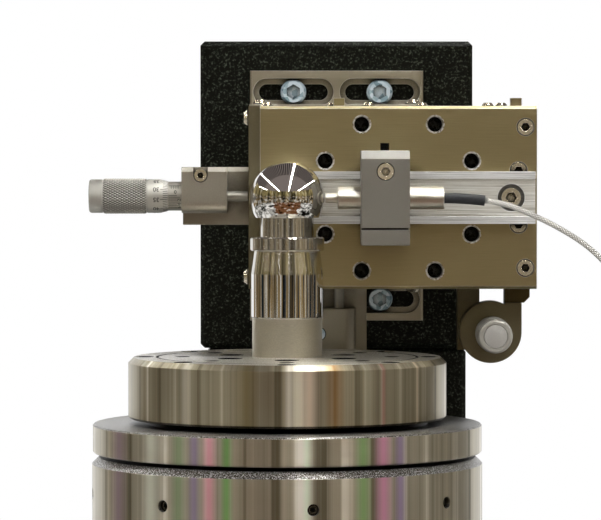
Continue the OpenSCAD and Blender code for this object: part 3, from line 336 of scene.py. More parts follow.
def blasted(name, shade, roughness, grit, edge=0.35, metallic=1, **hollows):
    """Metal blasted with fine beads: an even matt skin of small dimples."""
    made, tree, shader = finish(name, shade, metallic, roughness)
    pits = grain(tree, [grit] * 3, 3)
    dark = [c * 0.9 for c in shade[:3]] + [1]
    # Painted shade down holes and in corners
    paint_hollow_shade(tree, shader, add(tree, "ValToRGB", [pits], stops=[(0.35, dark), (0.6, shade)]), **hollows)
    roughen(tree, shader, edge, pits, 0.03, 0.25)
    return made


def knurled_chrome(colours):
    """Satin chrome with painted shade in the grooves of its knurl, which cross where the map's sums are halves."""
    made, tree, shader = finish("knurled_satin_chrome", colours.chrome, 0.68, 0.46)
    parts = add(tree, "SeparateXYZ", [add(tree, "UVMap", uv_map="knurl")]).node.outputs
    ridges = []
    for operation in ("ADD", "SUBTRACT"):
        lean = add(tree, "Math", [parts["X"], parts["Y"]], operation=operation)
        wave = add(tree, "Math", [lean, math.pi], operation="MULTIPLY")
        ridge = add(tree, "Math", [wave], operation="COSINE")
        ridges.append(add(tree, "Math", [ridge], operation="ABSOLUTE"))
    both = add(tree, "Math", [ridges[0], ridges[1]], operation="MULTIPLY")
    # Painted shade: dark grooves between light diamonds
    shades = add(tree, "ValToRGB", [both], stops=[(0.12, linear("#1b1a16")), (0.45, linear("#b4b2ab"))])
    paint_hollow_shade(tree, shader, shades, reach=3)
    roughen(tree, shader, 0.1)
    return made


def zinc_plate(colours):
    """Bright zinc plate: bluish cells of painted glint and painted dark reflection by turns."""
    made, tree, shader = finish("bright_zinc_plate", colours.zinc, 0.3, 0.18)
    cells = add(tree, "TexVoronoi", {"Vector": scaled(tree, [2.2] * 3), "Scale": 1}, "Color")
    # Painted glints and painted dark reflections in cells
    shades = add(tree, "ValToRGB", [cells], stops=[
        (0.15, linear("#8aa6b3")), (0.4, linear("#cbe2ee")), (0.6, colours.zinc)])
    paint_hollow_shade(tree, shader, shades, reach=7)
    roughen(tree, shader, 0.15)
    return made


def clamp_screw_steel(colours, black_above):
    """Oiled screws, of which the grub screw above a height is black oxide."""
    made, tree, shader = finish("oiled_and_black_screws", colours.screw, 0.85, 0.22)
    above = add(tree, "Math", [object_parts(tree)["Z"], black_above], operation="GREATER_THAN")
    shades = add(tree, "ValToRGB", [above], stops=[(0, colours.screw), (1, linear("#17171a"))])
    # Painted shade down the screws' sockets
    paint_hollow_shade(tree, shader, shades, reach=7)
    roughen(tree, shader, 0.15)
    return made


def moulded_rubber(colours):
    """Moulded rubber: dull, dark and very slightly grained."""
    made, tree, shader = finish("moulded_rubber", colours.rubber, 0, 0.55)
    skin = grain(tree, [0.4] * 3, 3)
    shades = add(tree, "ValToRGB", [skin], stops=[(0.3, linear("#1c1e21")), (0.7, colours.rubber)])
    plug(tree, shader, {"Base Color": shades})
    roughen(tree, shader, 0.2, skin, 0.03, 0.3)
    return made


STRANDS_ROUND = 7.5


def plaited_braid(colours, diameter):
    """Bright braid of fine wires: two sets of strands cross in a diamond pattern, drawn coarse to show."""
    made, tree, shader = finish("plaited_metal_braid", colours.braid, 0.2, 0.38)
    place = add(tree, "UVMap", uv_map="along")
    strand = diameter * math.pi / STRANDS_ROUND
    waves = []
    for lean in (-40, 40):
        turned = add(tree, "Mapping", {"Vector": place, "Rotation": (0, 0, math.radians(lean)),
                                       "Scale": (1 / strand, 1 / strand, 1)})
        waves.append(add(tree, "TexWave", {"Vector": turned, "Scale": 0.32}, "Fac"))
    plait = add(tree, "Math", [waves[0], waves[1]], operation="MULTIPLY")
    shades = add(tree, "ValToRGB", [plait], stops=[(0, linear("#918d83")), (0.35, colours.braid)])
    bump = add(tree, "Bump", {"Height": plait, "Strength": 0.6, "Distance": 0.08 * MM})
    plug(tree, shader, {"Base Color": shades, "Normal": bump})
    return made


def scale_ink(colours):
    """Etched and inked lines: flat, dark and dull, and a little worn."""
    made, tree, shader = finish("etched_ink", colours.ink, 0, 0.6)
    wear = grain(tree, [0.5] * 3, 2)
    shades = add(tree, "ValToRGB", [wear], stops=[(0.4, colours.ink), (0.8, linear("#4a4843"))])
    plug(tree, shader, {"Base Color": shades})
    return made


def dress(finish_made, *nodes):
    """Gives CAD nodes one material."""
    for name in nodes:
        mesh = frame["nodes"][name].data
        mesh.materials.clear()
        mesh.materials.append(finish_made)


# Meshes

def piece(name, vertices, faces, material, body, smooth=True):
    """A new mesh in the row frame that rides on a body."""
    mesh = bpy.data.meshes.new(name)
    mesh.from_pydata([tuple(v) for v in vertices], [], faces)
    mesh.materials.append(material)
    mesh.polygons.foreach_set("use_smooth", [smooth] * len(mesh.polygons))
    mesh.update()
    made = bpy.data.objects.new(name, mesh)
    bpy.context.scene.collection.objects.link(made)
    if body:
        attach(made, body)
    return made


def sharpen(made, angle=35):
    """Smooth shading that breaks at edges sharper than the angle."""
    made.data.set_sharp_from_angle(angle=math.radians(angle))
    return made


def smooth_route(points, steps):
    """A smooth curve through points, with some steps between each two."""
    route = []
    for i in range(len(points) - 1):
        a, b = points[max(i - 1, 0)], points[i]
        c, d = points[i + 1], points[min(i + 2, len(points) - 1)]
        for j in range(steps):
            t = j / steps
            route.append(b + (c - a) * t / 2 + (a - 2.5 * b + 2 * c - d / 2) * t * t
                         + (3 * b - a - 3 * c + d) * t ** 3 / 2)
    return route + [points[-1]]


def ring_quads(count, rings, first=0):
    """Faces between rings of so many vertices each, from the vertex with the first index on."""
    quads = []
    for ring in range(rings - 1):
        for k in range(count):
            a, b = first + ring * count + k, first + ring * count + (k + 1) % count
            quads.append((a, b, b + count, a + count))
    return quads


def tube(name, points, diameter, sides, up, material):
    """A closed round tube along points, with its girth and length as a UV map in metres."""
    vertices, lengths = [], [0.0]
    for a, b in zip(points, points[1:]):
        lengths.append(lengths[-1] + (b - a).length)
    for i, at in enumerate(points):
        heading = (points[min(i + 1, len(points) - 1)] - points[max(i - 1, 0)]).normalized()
        side = heading.cross(up).normalized()
        top = side.cross(heading)
        for k in range(sides):
            turn = math.tau * k / sides
            vertices.append(at + diameter / 2 * (math.cos(turn) * side + math.sin(turn) * top))
    last = (len(points) - 1) * sides
    faces = ring_quads(sides, len(points))
    faces += [tuple(range(sides - 1, -1, -1)), tuple(range(last, last + sides))]
    girth = math.pi * diameter / sides
    layout = [((k + x) * girth, lengths[i + y]) for i in range(len(points) - 1) for k in range(sides)
              for x, y in ((0, 0), (1, 0), (1, 1), (0, 1))] + [(0, 0)] * (2 * sides)
    made = piece(name, vertices, faces, material, None)
    uv = made.data.uv_layers.new(name="along")
    uv.data.foreach_set("uv", [c for pair in layout for c in pair])
    return made


# Cable

BOOT_BEND = 140 * MM
BOOT_LENGTH = 17.6 * MM
# Points in millimetres, from the boot to where the cable meets its coil
CABLE_ROUTE = [
    (96, 0, 247.4), (107, 0, 242.8), (115.5, 0, 238.6), (124, 0, 233.6), (131, 0, 228.4), (137, 0, 222.4),
    (143, 0, 214), (148, 0, 202.5), (151.5, 1, 188), (153.5, 2, 170), (154, 4, 150), (153.5, 7, 128),
    (152.5, 9, 106), (151, 10.5, 86), (149, 10, 68), (147, 6, 53.5), (145.7, -3, 44.9), (145, -14, 42),
]
# The coil on the slab, in millimetres; its tail is measured from the end of its last turn
COIL_MID = (126, -30)
COIL_RADIUS = 13.8
COIL_PITCH = 2.8
COIL_TURNS = 14
COIL_LAYERS = 4
COIL_STEPS = 24
COIL_REST = 0.6
COIL_TAIL = [(0, -3, 0), (0.2, -9, -0.1), (0.7, -17, -2.3), (1, -24, -4.4), (1, -28, -4.8)]
# Shares of the route at which one length of cable ends and the next begins
SPLITS = (0.36, 0.66)
ROUTE_STEPS = 6
TAIL_STEPS = 4
TIE_GAP = 0.08 * MM
TIE_THICKNESS = 0.3 * MM
TIE_WIDTH = 2.6 * MM
TIE_CORNER = 2 * MM
TIE_STEPS = 6


def coil_point(turn):
    """A point of the coil, which spirals in and out again in layers on the slab."""
    per_layer = COIL_TURNS / COIL_LAYERS
    run = turn % (2 * per_layer)
    inward = run if run < per_layer else 2 * per_layer - run
    radius = COIL_RADIUS + per_layer * COIL_PITCH / 2 - COIL_PITCH * inward
    layer = min(math.floor((turn + per_layer / 2) / per_layer), COIL_LAYERS - 1)
    climb = 0 if layer == 0 else layer - 1 + min(max(2 * (turn - layer * per_layer) + 0.5, 0), 1)
    cable = bpy.context.scene.rig_sizes.cable / MM
    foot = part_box("granite_base")[1].z / MM + COIL_REST + cable / 2
    angle = math.tau * turn
    return Vector((COIL_MID[0] + radius * math.cos(angle), COIL_MID[1] - radius * math.sin(angle),
                   foot + COIL_PITCH * climb)) * MM


class RIG_OT_cable(bpy.types.Operator):
    """Lays the braided cable from the probe's boot to its coil, in three lengths"""
    bl_idname = "rig.cable"
    bl_label = "Braided cable"

    def execute(self, context):
        sizes, colours = context.scene.rig_sizes, context.scene.rig_colours
        braid = plaited_braid(colours, sizes.cable)
        turn = BOOT_LENGTH / BOOT_BEND
        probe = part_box("probe")
        axis_z = (probe[0].z + probe[1].z) / 2
        start = Vector((probe[1].x + BOOT_BEND * math.sin(turn), 0, axis_z - BOOT_BEND * (1 - math.cos(turn))))
        lead = start + sizes.cable * Vector((math.cos(turn), 0, -math.sin(turn)))
        coil_start = coil_point(0) + Vector((0, sizes.cable, 0))
        bends = [lead] + [Vector(p) * MM for p in CABLE_ROUTE] + [coil_start + Vector((0, sizes.cable, 0))]
        route = [start] + smooth_route(bends, ROUTE_STEPS) + [coil_start]
        marks = [0] + [round(s * len(route)) for s in SPLITS] + [len(route) - 1]
        joins = [("x_carriage", "y_carriage"), ("y_carriage", "z_carriage"), ("z_carriage", "frame")]
        for n, (near, far) in enumerate(joins):
            part = route[marks[n]:marks[n + 1] + 1]
            made = tube(f"probe_cable_{n + 1}", part, sizes.cable, 12, Vector((0, 1, 0.02)), braid)
            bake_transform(made)
            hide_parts("probe_cable")
        self.coil(sizes, braid, coil_start)
        return {"FINISHED"}

    def coil(self, sizes, braid, start):
        """Winds the spare length and holds it with a tie."""
        end = coil_point(COIL_TURNS)
        tail = smooth_route([end + Vector(p) * MM for p in COIL_TAIL], TAIL_STEPS)
        turns = [coil_point(i / COIL_STEPS) for i in range(COIL_TURNS * COIL_STEPS + 1)]
        route = [start] + turns + tail + [tail[-1] - Vector((0, sizes.cable, 0))]
        made = tube("cable_coil_wound", route, sizes.cable, 10, Vector((0, 0, 1)), braid)
        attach(made, "frame")
        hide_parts("cable_coil")
        tie = self.tie(sizes, turns)

    def tie(self, sizes, turns):
        """A flat strap round the wound lengths, on the side away from the cable's ends."""
        reach = sizes.cable / 2 + TIE_GAP - TIE_CORNER
        radii = [(p - Vector((COIL_MID[0] * MM, COIL_MID[1] * MM, p.z))).length for p in turns]
        left, right = COIL_MID[0] * MM - max(radii) - reach, COIL_MID[0] * MM - min(radii) + reach
        low, high = min(p.z for p in turns) - reach, max(p.z for p in turns) + reach
        loop = []
        for first, (x, z) in enumerate(((right, high), (left, high), (left, low), (right, low))):
            for k in range(TIE_STEPS + 1):
                turn = math.pi / 2 * (first + k / TIE_STEPS)
                loop.append((x, z, math.cos(turn), math.sin(turn)))
        vertices = []
        inner, outer = TIE_CORNER, TIE_CORNER + TIE_THICKNESS
        for radius, side in ((inner, -1), (inner, 1), (outer, 1), (outer, -1)):
            vertices += [(x + radius * c, COIL_MID[1] * MM + side * TIE_WIDTH / 2, z + radius * s)
                         for x, z, c, s in loop]
        faces = [tuple(i % len(vertices) for i in quad) for quad in ring_quads(len(loop), 5)]
        strap = finish("nylon_tie", linear("#1b1c1e"), 0, 0.45)[0]
        return sharpen(piece("cable_tie", vertices, faces, strap, "frame"))


# Micrometers

class Micrometer:
    """Where one micrometer lies: a local x from the thimble's end to the tip, with y to the back and z up."""

    def __init__(self, letter, body, turn):
        self.letter = letter
        self.body = body
        low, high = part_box(f"{letter}_thimble")
        index = "xyz".index(letter)
        middle = (low + high) / 2
        middle[index] = low[index]
        self.place = Matrix.Translation(middle) @ turn
        self.length = high[index] - low[index]
        self.radius = (high[(index + 1) % 3] - low[(index + 1) % 3]) / 2
        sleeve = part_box(f"{letter}_mic_sleeve")
        self.sleeve_radius = (sleeve[1][(index + 1) % 3] - sleeve[0][(index + 1) % 3]) / 2

    def at(self, along, radius, angle):
        """A point at some length from the thimble's end, by its angle from the front upwards."""
        return self.place @ Vector((along, -radius * math.cos(angle), radius * math.sin(angle)))


# Lengths from the thimble's end, radii and depths
SEGMENTS = 84
PLAIN_BAND = 6.4 * MM
KNURL_END = 25.2 * MM
KNURL_STEP = 0.4 * MM
SCALE_BEVEL = 3.4 * MM
SCALE_LIP = 0.12 * MM
THIMBLE_WALL = 5 * MM
DISC_RADIUS = 5.1 * MM
DISC_SEAT = 0.25 * MM
DISC_SEGMENTS = 48
GROOVE_DEPTH = 0.25 * MM
BORE_GAP = 0.08 * MM
SCREW_BORE = 2.4 * MM


def knurled_thimble(mic, sizes, material):
    """The thimble with its plain ends, diamond knurl and bevelled scale end, hollow as the real one is."""
    r, end = mic.radius, mic.length
    plain, groove = r - KNURL_STEP, r - KNURL_STEP - GROOVE_DEPTH
    bore = mic.sleeve_radius + BORE_GAP
    rows = round((KNURL_END - PLAIN_BAND) / sizes.knurl_row / 2) * 2
    head = [(DISC_SEAT, DISC_RADIUS), (0, DISC_RADIUS + DISC_SEAT), (0, plain - 0.9 * MM),
            (0.3 * MM, plain - 0.3 * MM), (1.1 * MM, plain), (PLAIN_BAND - 0.5 * MM, plain),
            (PLAIN_BAND - 0.35 * MM, groove), (PLAIN_BAND - 0.1 * MM, groove)]
    knurl = [(PLAIN_BAND + i * (KNURL_END - PLAIN_BAND) / rows, r) for i in range(rows + 1)]
    tail = [(KNURL_END + 0.1 * MM, groove), (KNURL_END + 0.35 * MM, groove), (KNURL_END + 0.5 * MM, plain),
            (end - SCALE_BEVEL, plain), (end, mic.sleeve_radius + SCALE_LIP), (end, bore),
            (THIMBLE_WALL, bore), (THIMBLE_WALL, SCREW_BORE)]
    rings = head + knurl + tail
    first_row = len(head)
    vertices = [mic.at(DISC_SEAT, 0, 0)]
    for n, (along, radius) in enumerate(rings):
        in_knurl = first_row <= n <= first_row + rows
        for k in range(SEGMENTS):
            low = in_knurl and ((n - first_row + k) % 2 or n in (first_row, first_row + rows))
            vertices.append(mic.at(along, radius - (sizes.knurl if low else 0), math.tau * k / SEGMENTS))
    faces = [(0, 1 + (k + 1) % SEGMENTS, 1 + k) for k in range(SEGMENTS)]
    for i, (a, b, c, d) in enumerate(ring_quads(SEGMENTS, len(rings), 1)):
        n, k = divmod(i, SEGMENTS)
        if not first_row <= n < first_row + rows:
            faces.append((a, b, c, d))
        elif (n - first_row + k) % 2 == 0:
            faces += [(a, b, d), (b, c, d)]
        else:
            faces += [(a, b, c), (a, c, d)]
    faces.append(tuple(1 + (len(rings) - 1) * SEGMENTS + k for k in range(SEGMENTS)))
    made = piece(f"{mic.letter}_thimble_knurled", vertices, faces, material, f"{mic.letter}_thimble")
    uv = made.data.uv_layers.new(name="knurl")
    for face in made.data.polygons:
        spots = [((v - 1) % SEGMENTS, (v - 1) // SEGMENTS - first_row) for v in face.vertices]
        ridged = all(0 <= row <= rows for k, row in spots)
        seam = max(k for k, row in spots) == SEGMENTS - 1
        for corner, (k, row) in zip(face.loop_indices, spots):
            turn = SEGMENTS if seam and k == 0 else k
            uv.data[corner].uv = (turn / 2, row / 2) if ridged else (0, 0)
    sharpen(made, 24)
    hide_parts(f"{mic.letter}_thimble")
    return made


def end_disc(mic, material):
    """A plain pale disc let into the end of the thimble."""
    inner = DISC_RADIUS - 0.1 * MM
    rings = [(0.24 * MM, inner), (0.02 * MM, inner), (-0.02 * MM, DISC_RADIUS - 0.25 * MM)]
    vertices = [mic.at(along, radius, math.tau * k / DISC_SEGMENTS)
                for along, radius in rings for k in range(DISC_SEGMENTS)]
    faces = [(b, a, d, c) for a, b, c, d in ring_quads(DISC_SEGMENTS, len(rings))]
    last = len(vertices) - 1
    faces += [tuple(range(DISC_SEGMENTS)), tuple(range(last, last - DISC_SEGMENTS, -1))]
    made = piece(f"{mic.letter}_thimble_disc", vertices, faces, material, f"{mic.letter}_thimble")
    return sharpen(made)


class Scale:
    """Lines and numbers laid on a round or conical surface as one thin mesh."""

    INK = 0.015 * MM

    def __init__(self, mic):
        self.mic = mic
        self.vertices = []
        self.faces = []

    def patch(self, corners):
        """A thin slab over corners given as (along, radius, angle), in steps along two sides."""
        first = len(self.vertices)
        for lift in (-self.INK, self.INK):
            self.vertices += [self.mic.at(a, r + lift, t) for a, r, t in corners]
        n = len(corners) // 2
        outer = [first + len(corners) + i for i in range(len(corners))]
        inner = [first + i for i in range(len(corners))]
        for i in range(n - 1):
            self.faces.append((outer[i], outer[i + 1], outer[n + i + 1], outer[n + i]))
            self.faces.append((inner[n + i], inner[n + i + 1], inner[i + 1], inner[i]))
        loop = list(range(n)) + list(range(2 * n - 1, n - 1, -1))
        for i, j in zip(loop, loop[1:] + loop[:1]):
            self.faces.append((inner[i], inner[j], outer[j], outer[i]))

    def axial(self, start, end, radius_start, radius_end, angle, width):
        """A line along the axis."""
        half = width / 2 / max(radius_start, radius_end)
        self.patch([(start, radius_start, angle - half), (end, radius_end, angle - half),
                    (start, radius_start, angle + half), (end, radius_end, angle + half)])

    def round(self, along, radius, start, end, width):
        """A line round part of the girth."""
        steps = max(2, round(abs(end - start) / math.radians(8)) + 1)
        turns = [start + (end - start) * i / (steps - 1) for i in range(steps)]
        self.patch([(along + side * width / 2, radius, t) for side in (-1, 1) for t in turns])

    def number(self, words, along, radius, angle, height, lying):
        """A number, upside down from the front, or lying along the girth."""
        text = bpy.data.curves.new("digits", "FONT")
        text.body = words
        text.size = height * 1.4
        text.extrude = self.INK
        text.offset = height / 40
        text.align_x = "CENTER"
        text.align_y = "CENTER"
        carrier = bpy.data.objects.new("digits", text)
        bpy.context.scene.collection.objects.link(carrier)
        bpy.context.view_layer.update()
        flat = bpy.data.meshes.new_from_object(carrier.evaluated_get(bpy.context.evaluated_depsgraph_get()))
        first = len(self.vertices)
        for v in flat.vertices:
            across, up = (-v.co.y, v.co.x) if lying else (-v.co.x, -v.co.y)
            self.vertices.append(self.mic.at(along + across, radius + v.co.z, angle + up / radius))
        self.faces += [tuple(first + i for i in p.vertices) for p in flat.polygons]
        bpy.data.objects.remove(carrier)
        bpy.data.meshes.remove(flat)
        bpy.data.curves.remove(text)

    def lay(self, name, material, body):
        return piece(name, self.vertices, self.faces, material, body, smooth=False)


# The thimble's divisions and the one at the front, then the sleeve's lines beyond the thimble and their angles
DIVISIONS = 50
READING = 33.4
DIVISIONS_PER_NUMBER = 5
SLEEVE_NEAR = 0.4 * MM
SLEEVE_FAR = 5.8 * MM
SLEEVE_LINES = 8
SLEEVE_STEP = 0.5 * MM
VERNIER_LINES = 7
VERNIER_STEP = 8.5
DATUM = math.radians(46)


def thimble_scale(mic, sizes, ink):
    """Fifty lines on the bevelled end, with a number at every fifth."""
    scale = Scale(mic)
    rim = mic.radius - KNURL_STEP
    lip = mic.sleeve_radius + SCALE_LIP
    bevel_start = mic.length - SCALE_BEVEL
    for k in range(DIVISIONS):
        angle = math.tau * (READING - k) / DIVISIONS
        numbered = k % DIVISIONS_PER_NUMBER == 0
        reach = 0.95 if numbered else 0.62
        start = mic.length - reach * SCALE_BEVEL
        share = (start - bevel_start) / SCALE_BEVEL
        scale.axial(start, mic.length, rim + share * (lip - rim), lip, angle, sizes.tick)
        if numbered:
            scale.number(str(k), bevel_start - 1.6 * MM, rim, angle, sizes.digit, lying=False)
    return scale.lay(f"{mic.letter}_thimble_scale", ink, f"{mic.letter}_thimble")


def sleeve_scale(mic, sizes, ink):
    """The sleeve's half-millimetre lines with their zero, and the vernier lines below them."""
    scale = Scale(mic)
    near, far, r = mic.length + SLEEVE_NEAR, mic.length + SLEEVE_FAR, mic.sleeve_radius
    scale.axial(near, far, r, r, DATUM, sizes.tick)
    for k in range(SLEEVE_LINES):
        reach = math.radians(15 if k % 2 == 0 else 9)
        scale.round(far - 1.2 * MM - k * SLEEVE_STEP, r, DATUM, DATUM - reach, sizes.tick)
    scale.number("0", far - 2.4 * MM, r, math.radians(18), sizes.digit * 0.8, lying=False)
    for k in range(VERNIER_LINES):
        angle = math.radians(2 - VERNIER_STEP * k)
        scale.axial(near, far - (1.7 if k % 2 == 0 else 0.4) * MM, r, r, angle, sizes.tick)
        if k % 2 == 0 and k:
            scale.number(str(k), far - 0.7 * MM, r, angle, sizes.digit * 0.75, lying=True)
    return scale.lay(f"{mic.letter}_sleeve_scale", ink, mic.body)


class RIG_OT_micrometers(bpy.types.Operator):
    """Makes the knurled thimbles, their end discs and the scales of the three micrometers"""
    bl_idname = "rig.micrometers"
    bl_label = "Micrometers"

    def execute(self, context):
        sizes, colours = context.scene.rig_sizes, context.scene.rig_colours
        chrome = blasted("satin_chrome", colours.chrome, 0.4, 0.25, edge=0.1, metallic=0.7, reach=3)
        knurled = knurled_chrome(colours)
        pale = blasted("pale_foil", linear("#b4b2ad"), 0.5, 0.5, metallic=0.5, reach=3)
        ink = scale_ink(colours)
        quarter = math.pi / 2
        mics = [
            Micrometer("x", "y_carriage", Matrix.Identity(4)),
            Micrometer("y", "y_carriage", Matrix.Rotation(quarter, 4, "Z")),
            Micrometer("z", "frame", Matrix.Rotation(-quarter, 4, "Y")),
        ]
        for mic in mics:
            knurled_thimble(mic, sizes, knurled)
            end_disc(mic, pale)
            thimble_scale(mic, sizes, ink)
            sleeve_scale(mic, sizes, ink)
            dress(chrome, f"{mic.letter}_mic_sleeve", f"{mic.letter}_spindle")
        return {"FINISHED"}


# Ball

STEM_SEGMENTS = 160
BALL_RINGS = 72
BALL_RADIUS = 16 * MM
BALL_CUT = 8.4 * MM
# Radius and height of the corners of the stem, from the ball's centre and in millimetres
FOOT = [(5, -60.4), (5, -51.4), (15.1, -51.4), (15.5, -51), (15.5, -32.6)]
STEM = [(14.1, -22.6), (15.5, -22.6), (15.9, -22.2), (15.9, -17.3), (15.3, -16.7), (11.4, -16.7), (11.4, -8.4)]


class RIG_OT_ball(bpy.types.Operator):
    """Turns the mirror ball on its stem, with the flat on which the ball meets its neck"""
    bl_idname = "rig.ball"
    bl_label = "Ball"

    def execute(self, context):
        colours = context.scene.rig_colours
        low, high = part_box("ball_target")
        middle = (low + high) / 2
        middle.z = high.z - BALL_RADIUS
        start = math.asin(-BALL_CUT / BALL_RADIUS)
        turns = [start + (math.pi / 2 - start) * i / BALL_RINGS for i in range(BALL_RINGS)]
        rings = [(r * MM, z * MM) for r, z in FOOT + STEM]
        rings += [(BALL_RADIUS * math.cos(t), BALL_RADIUS * math.sin(t)) for t in turns]
        spots = [math.tau * k / STEM_SEGMENTS for k in range(STEM_SEGMENTS)]
        vertices = [middle + Vector((r * math.cos(t), r * math.sin(t), z)) for r, z in rings for t in spots]
        faces = [tuple(range(STEM_SEGMENTS - 1, -1, -1))] + ring_quads(STEM_SEGMENTS, len(rings))
        vertices.append(middle + Vector((0, 0, BALL_RADIUS)))
        last = (len(rings) - 1) * STEM_SEGMENTS
        faces += [(last + k, last + (k + 1) % STEM_SEGMENTS, len(vertices) - 1) for k in range(STEM_SEGMENTS)]
        made = piece("ball_on_stem", vertices, faces, polished_steel(colours), "rotor")
        made.data.materials.append(fine_turned_steel(colours))
        taper, flat = middle.z + FOOT[-1][1] * MM, middle.z - BALL_CUT
        for face in made.data.polygons:
            face.material_index = int(taper < face.center.z < flat - MM / 10)
        sharpen(made, 5)
        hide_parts("ball_target")
        return {"FINISHED"}


# Finishes of the solids

# Painted reflection streaks: angle from the front and half width in degrees, and colour
HOUSING_STREAKS = [
    (-57, 5, "#b39fae"), (-42, 4, "#eef0e2"), (-32, 2.8, "#9fb08c"), (-27, 2, "#a595b8"), (-22.2, 2.6, "#f3b4c6"),
    (-17, 2, "#86c074"), (5.8, 1.6, "#e9f4e0"), (22, 2.8, "#93b87e"), (28.4, 3.2, "#df9cc0"), (34, 2.2, "#b7a3c9"),
]
PLATTER_STREAKS = [
    (-59, 1.0, "#f4f1ea"), (-38, 2.5, "#c9c3b6"), (-14, 5, "#8f8464"), (0.8, 1.6, "#d8d3c8"), (8, 4, "#d9c6b2"),
    (17, 4, "#94744a"), (36, 1.2, "#b98a80"), (53, 1.0, "#f6e9d4"),
]
BAR_LIP = 1.6 * MM
HOUSING_SKIN = 78 * MM
PLATTER_SKIN = 64 * MM
GRUB_HEIGHT = 3 * MM


class RIG_OT_finishes(bpy.types.Operator):
    """Gives the solids their finishes"""
    bl_idname = "rig.finishes"
    bl_label = "Finishes"

    def execute(self, context):
        sizes, colours = context.scene.rig_sizes, context.scene.rig_colours
        dress(black_granite(colours, sizes), "granite_base", "granite_column", "granite_block")
        # Tones of the housing's painted reflection bands, darkest first; the last colour of the call lies between
        # painted glints
        tones = [linear("#79725f"), linear("#b3ac9a"), linear("#c2bba9"), colours.turned]
        dress(turned_steel("turned_stainless_housing", HOUSING_STREAKS, tones, HOUSING_SKIN, 0.3, 0.45, "#453f33"),
              "spindle_housing", "flange_ring")
        # Tones of the platter's painted reflection bands, darkest first
        tones = [linear("#766e5b"), linear("#a19984"), linear("#aaa28d"), linear("#d2cbb8")]
        dress(turned_steel("turned_stainless_platter", PLATTER_STREAKS, tones, PLATTER_SKIN, 0.85, 0.8, "#b3ac9c"),
              "platter", "rotor_shaft", "thrust_plate")
        dress(brushed("turned_steel_post", linear("#c2bcad"), 0.42, 20, 0.25), "post")
        ground = {"roughness": 0.33, "along": 20, "across": 0.25, "contrast": 0.06}
        dress(brushed("ground_steel", colours.ground, **ground, edge=0.15),
              "z_carriage", "y_carriage", "x_base", "y_base", "travel_stops")
        # Centre of the holes, round which the face gets painted glints
        middle = next(m["pos_m"] for m in frame["record"]["mounts"] if m["name"] == "carriage_holes_wide")
        dress(brushed("ground_face_steel", colours.ground, **ground, edge=0.15, holes=middle), "x_carriage")
        dress(brushed("ground_plate_steel", colours.plate, **ground, edge=0.2), "z_base", "z_end_plates")
        half_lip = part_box("mount_bar")[0].y + BAR_LIP / 2
        dress(brushed("brushed_bar_steel", colours.bar, 0.3, 30, 0.16, strength=0.5, edge=0.2, contrast=0.5,
                      metallic=0.45, sunk=(half_lip, colours.bar_floor)), "mount_bar")
        dress(blasted("matt_alloy", colours.alloy, 0.42, 0.5), "x_mic_bracket", "z_mic_bracket")
        # Painted shade: a darker alloy for parts in the shadow beneath the front carriage
        dress(blasted("alloy_in_painted_shade", colours.dull, 0.45, 0.5), "y_bracket", "y_lug", "y_mic_bracket",
              "x_end_plate")
        # Painted shade: the front plate is darker, in the shadow under the stages
        dress(blasted("plate_alloy_in_painted_shade", linear("#655b3f"), 0.45, 0.5), "front_plate")
        dress(blasted("blasted_clamp_alloy", colours.clamp, 0.5, 0.3), "probe_clamp", "clamp_cap")
        dress(brushed("ground_rail_steel", linear("#b7b2a6"), 0.25, 8, 0.3),
              "cable_connector", "x_base_rails", "y_base_rails", "z_base_rails",
              "x_carriage_rails", "y_carriage_rails", "z_carriage_rails")
        dress(brushed("rolled_cage_brass", linear("#c7a463"), 0.3, 3, 0.3), "x_rollers", "y_rollers", "z_rollers")
        dress(brushed("brushed_probe_steel", linear("#dad7ce"), 0.36, 40, 0.15, strength=0.15, contrast=0.25),
              "probe")
        # Painted shade down the screws' sockets
        dress(blasted("oiled_screw_steel", colours.screw, 0.25, 0.3, edge=0.3, metallic=0.9, reach=5,
                      depths=(0.4, 0.62, 0.78)),
              "housing_set_screws", "platter_bolts", "bracket_screws", "adapter_screws", "carriage_screws")
        dress(clamp_screw_steel(colours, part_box("clamp_cap")[1].z - GRUB_HEIGHT), "clamp_screws")
        dress(zinc_plate(colours), "z_base_bolts", "granite_inserts", "base_bolts")
        dress(moulded_rubber(colours), "cable_boot")
        return {"FINISHED"}


# Studio

CAMERA_PLACE = (5.7, -1500, 265)
CAMERA_PITCH = 1.56
FOCAL_PIXELS = 3488
PHOTO_WIDTH = 601
SENSOR = 36
WORLD_LIGHT = 0.55
FLOOR_SEGMENTS = 96
FLOOR_GAP = 0.3 * MM

# The room that the metal mirrors, in metres
WALL_RADIUS = 5.2
WALL_SPREAD = math.radians(135)
WALL_STEPS = 64
ROOM_FLOOR = -0.9
ROOM_CEILING = 2.25
FLOOR_REACH = 5.2
CEILING_REACH = 8.6
SHELF_LOW, SHELF_HIGH = 0.6, 0.9
TABLE_REACH = 0.8
LIGHT_PITCH = 2.66
LIGHT_SHIFT = 0.42
LIGHT_SLIMMING = 0.0055
RIB_PITCH = 0.127
RIBS_FROM = -0.46
SOFT_EDGE = 0.02


def hex_stops(*pairs):
    """Stops of a colour ramp from places and hex values."""
    return [(place, linear(code)) for place, code in pairs]


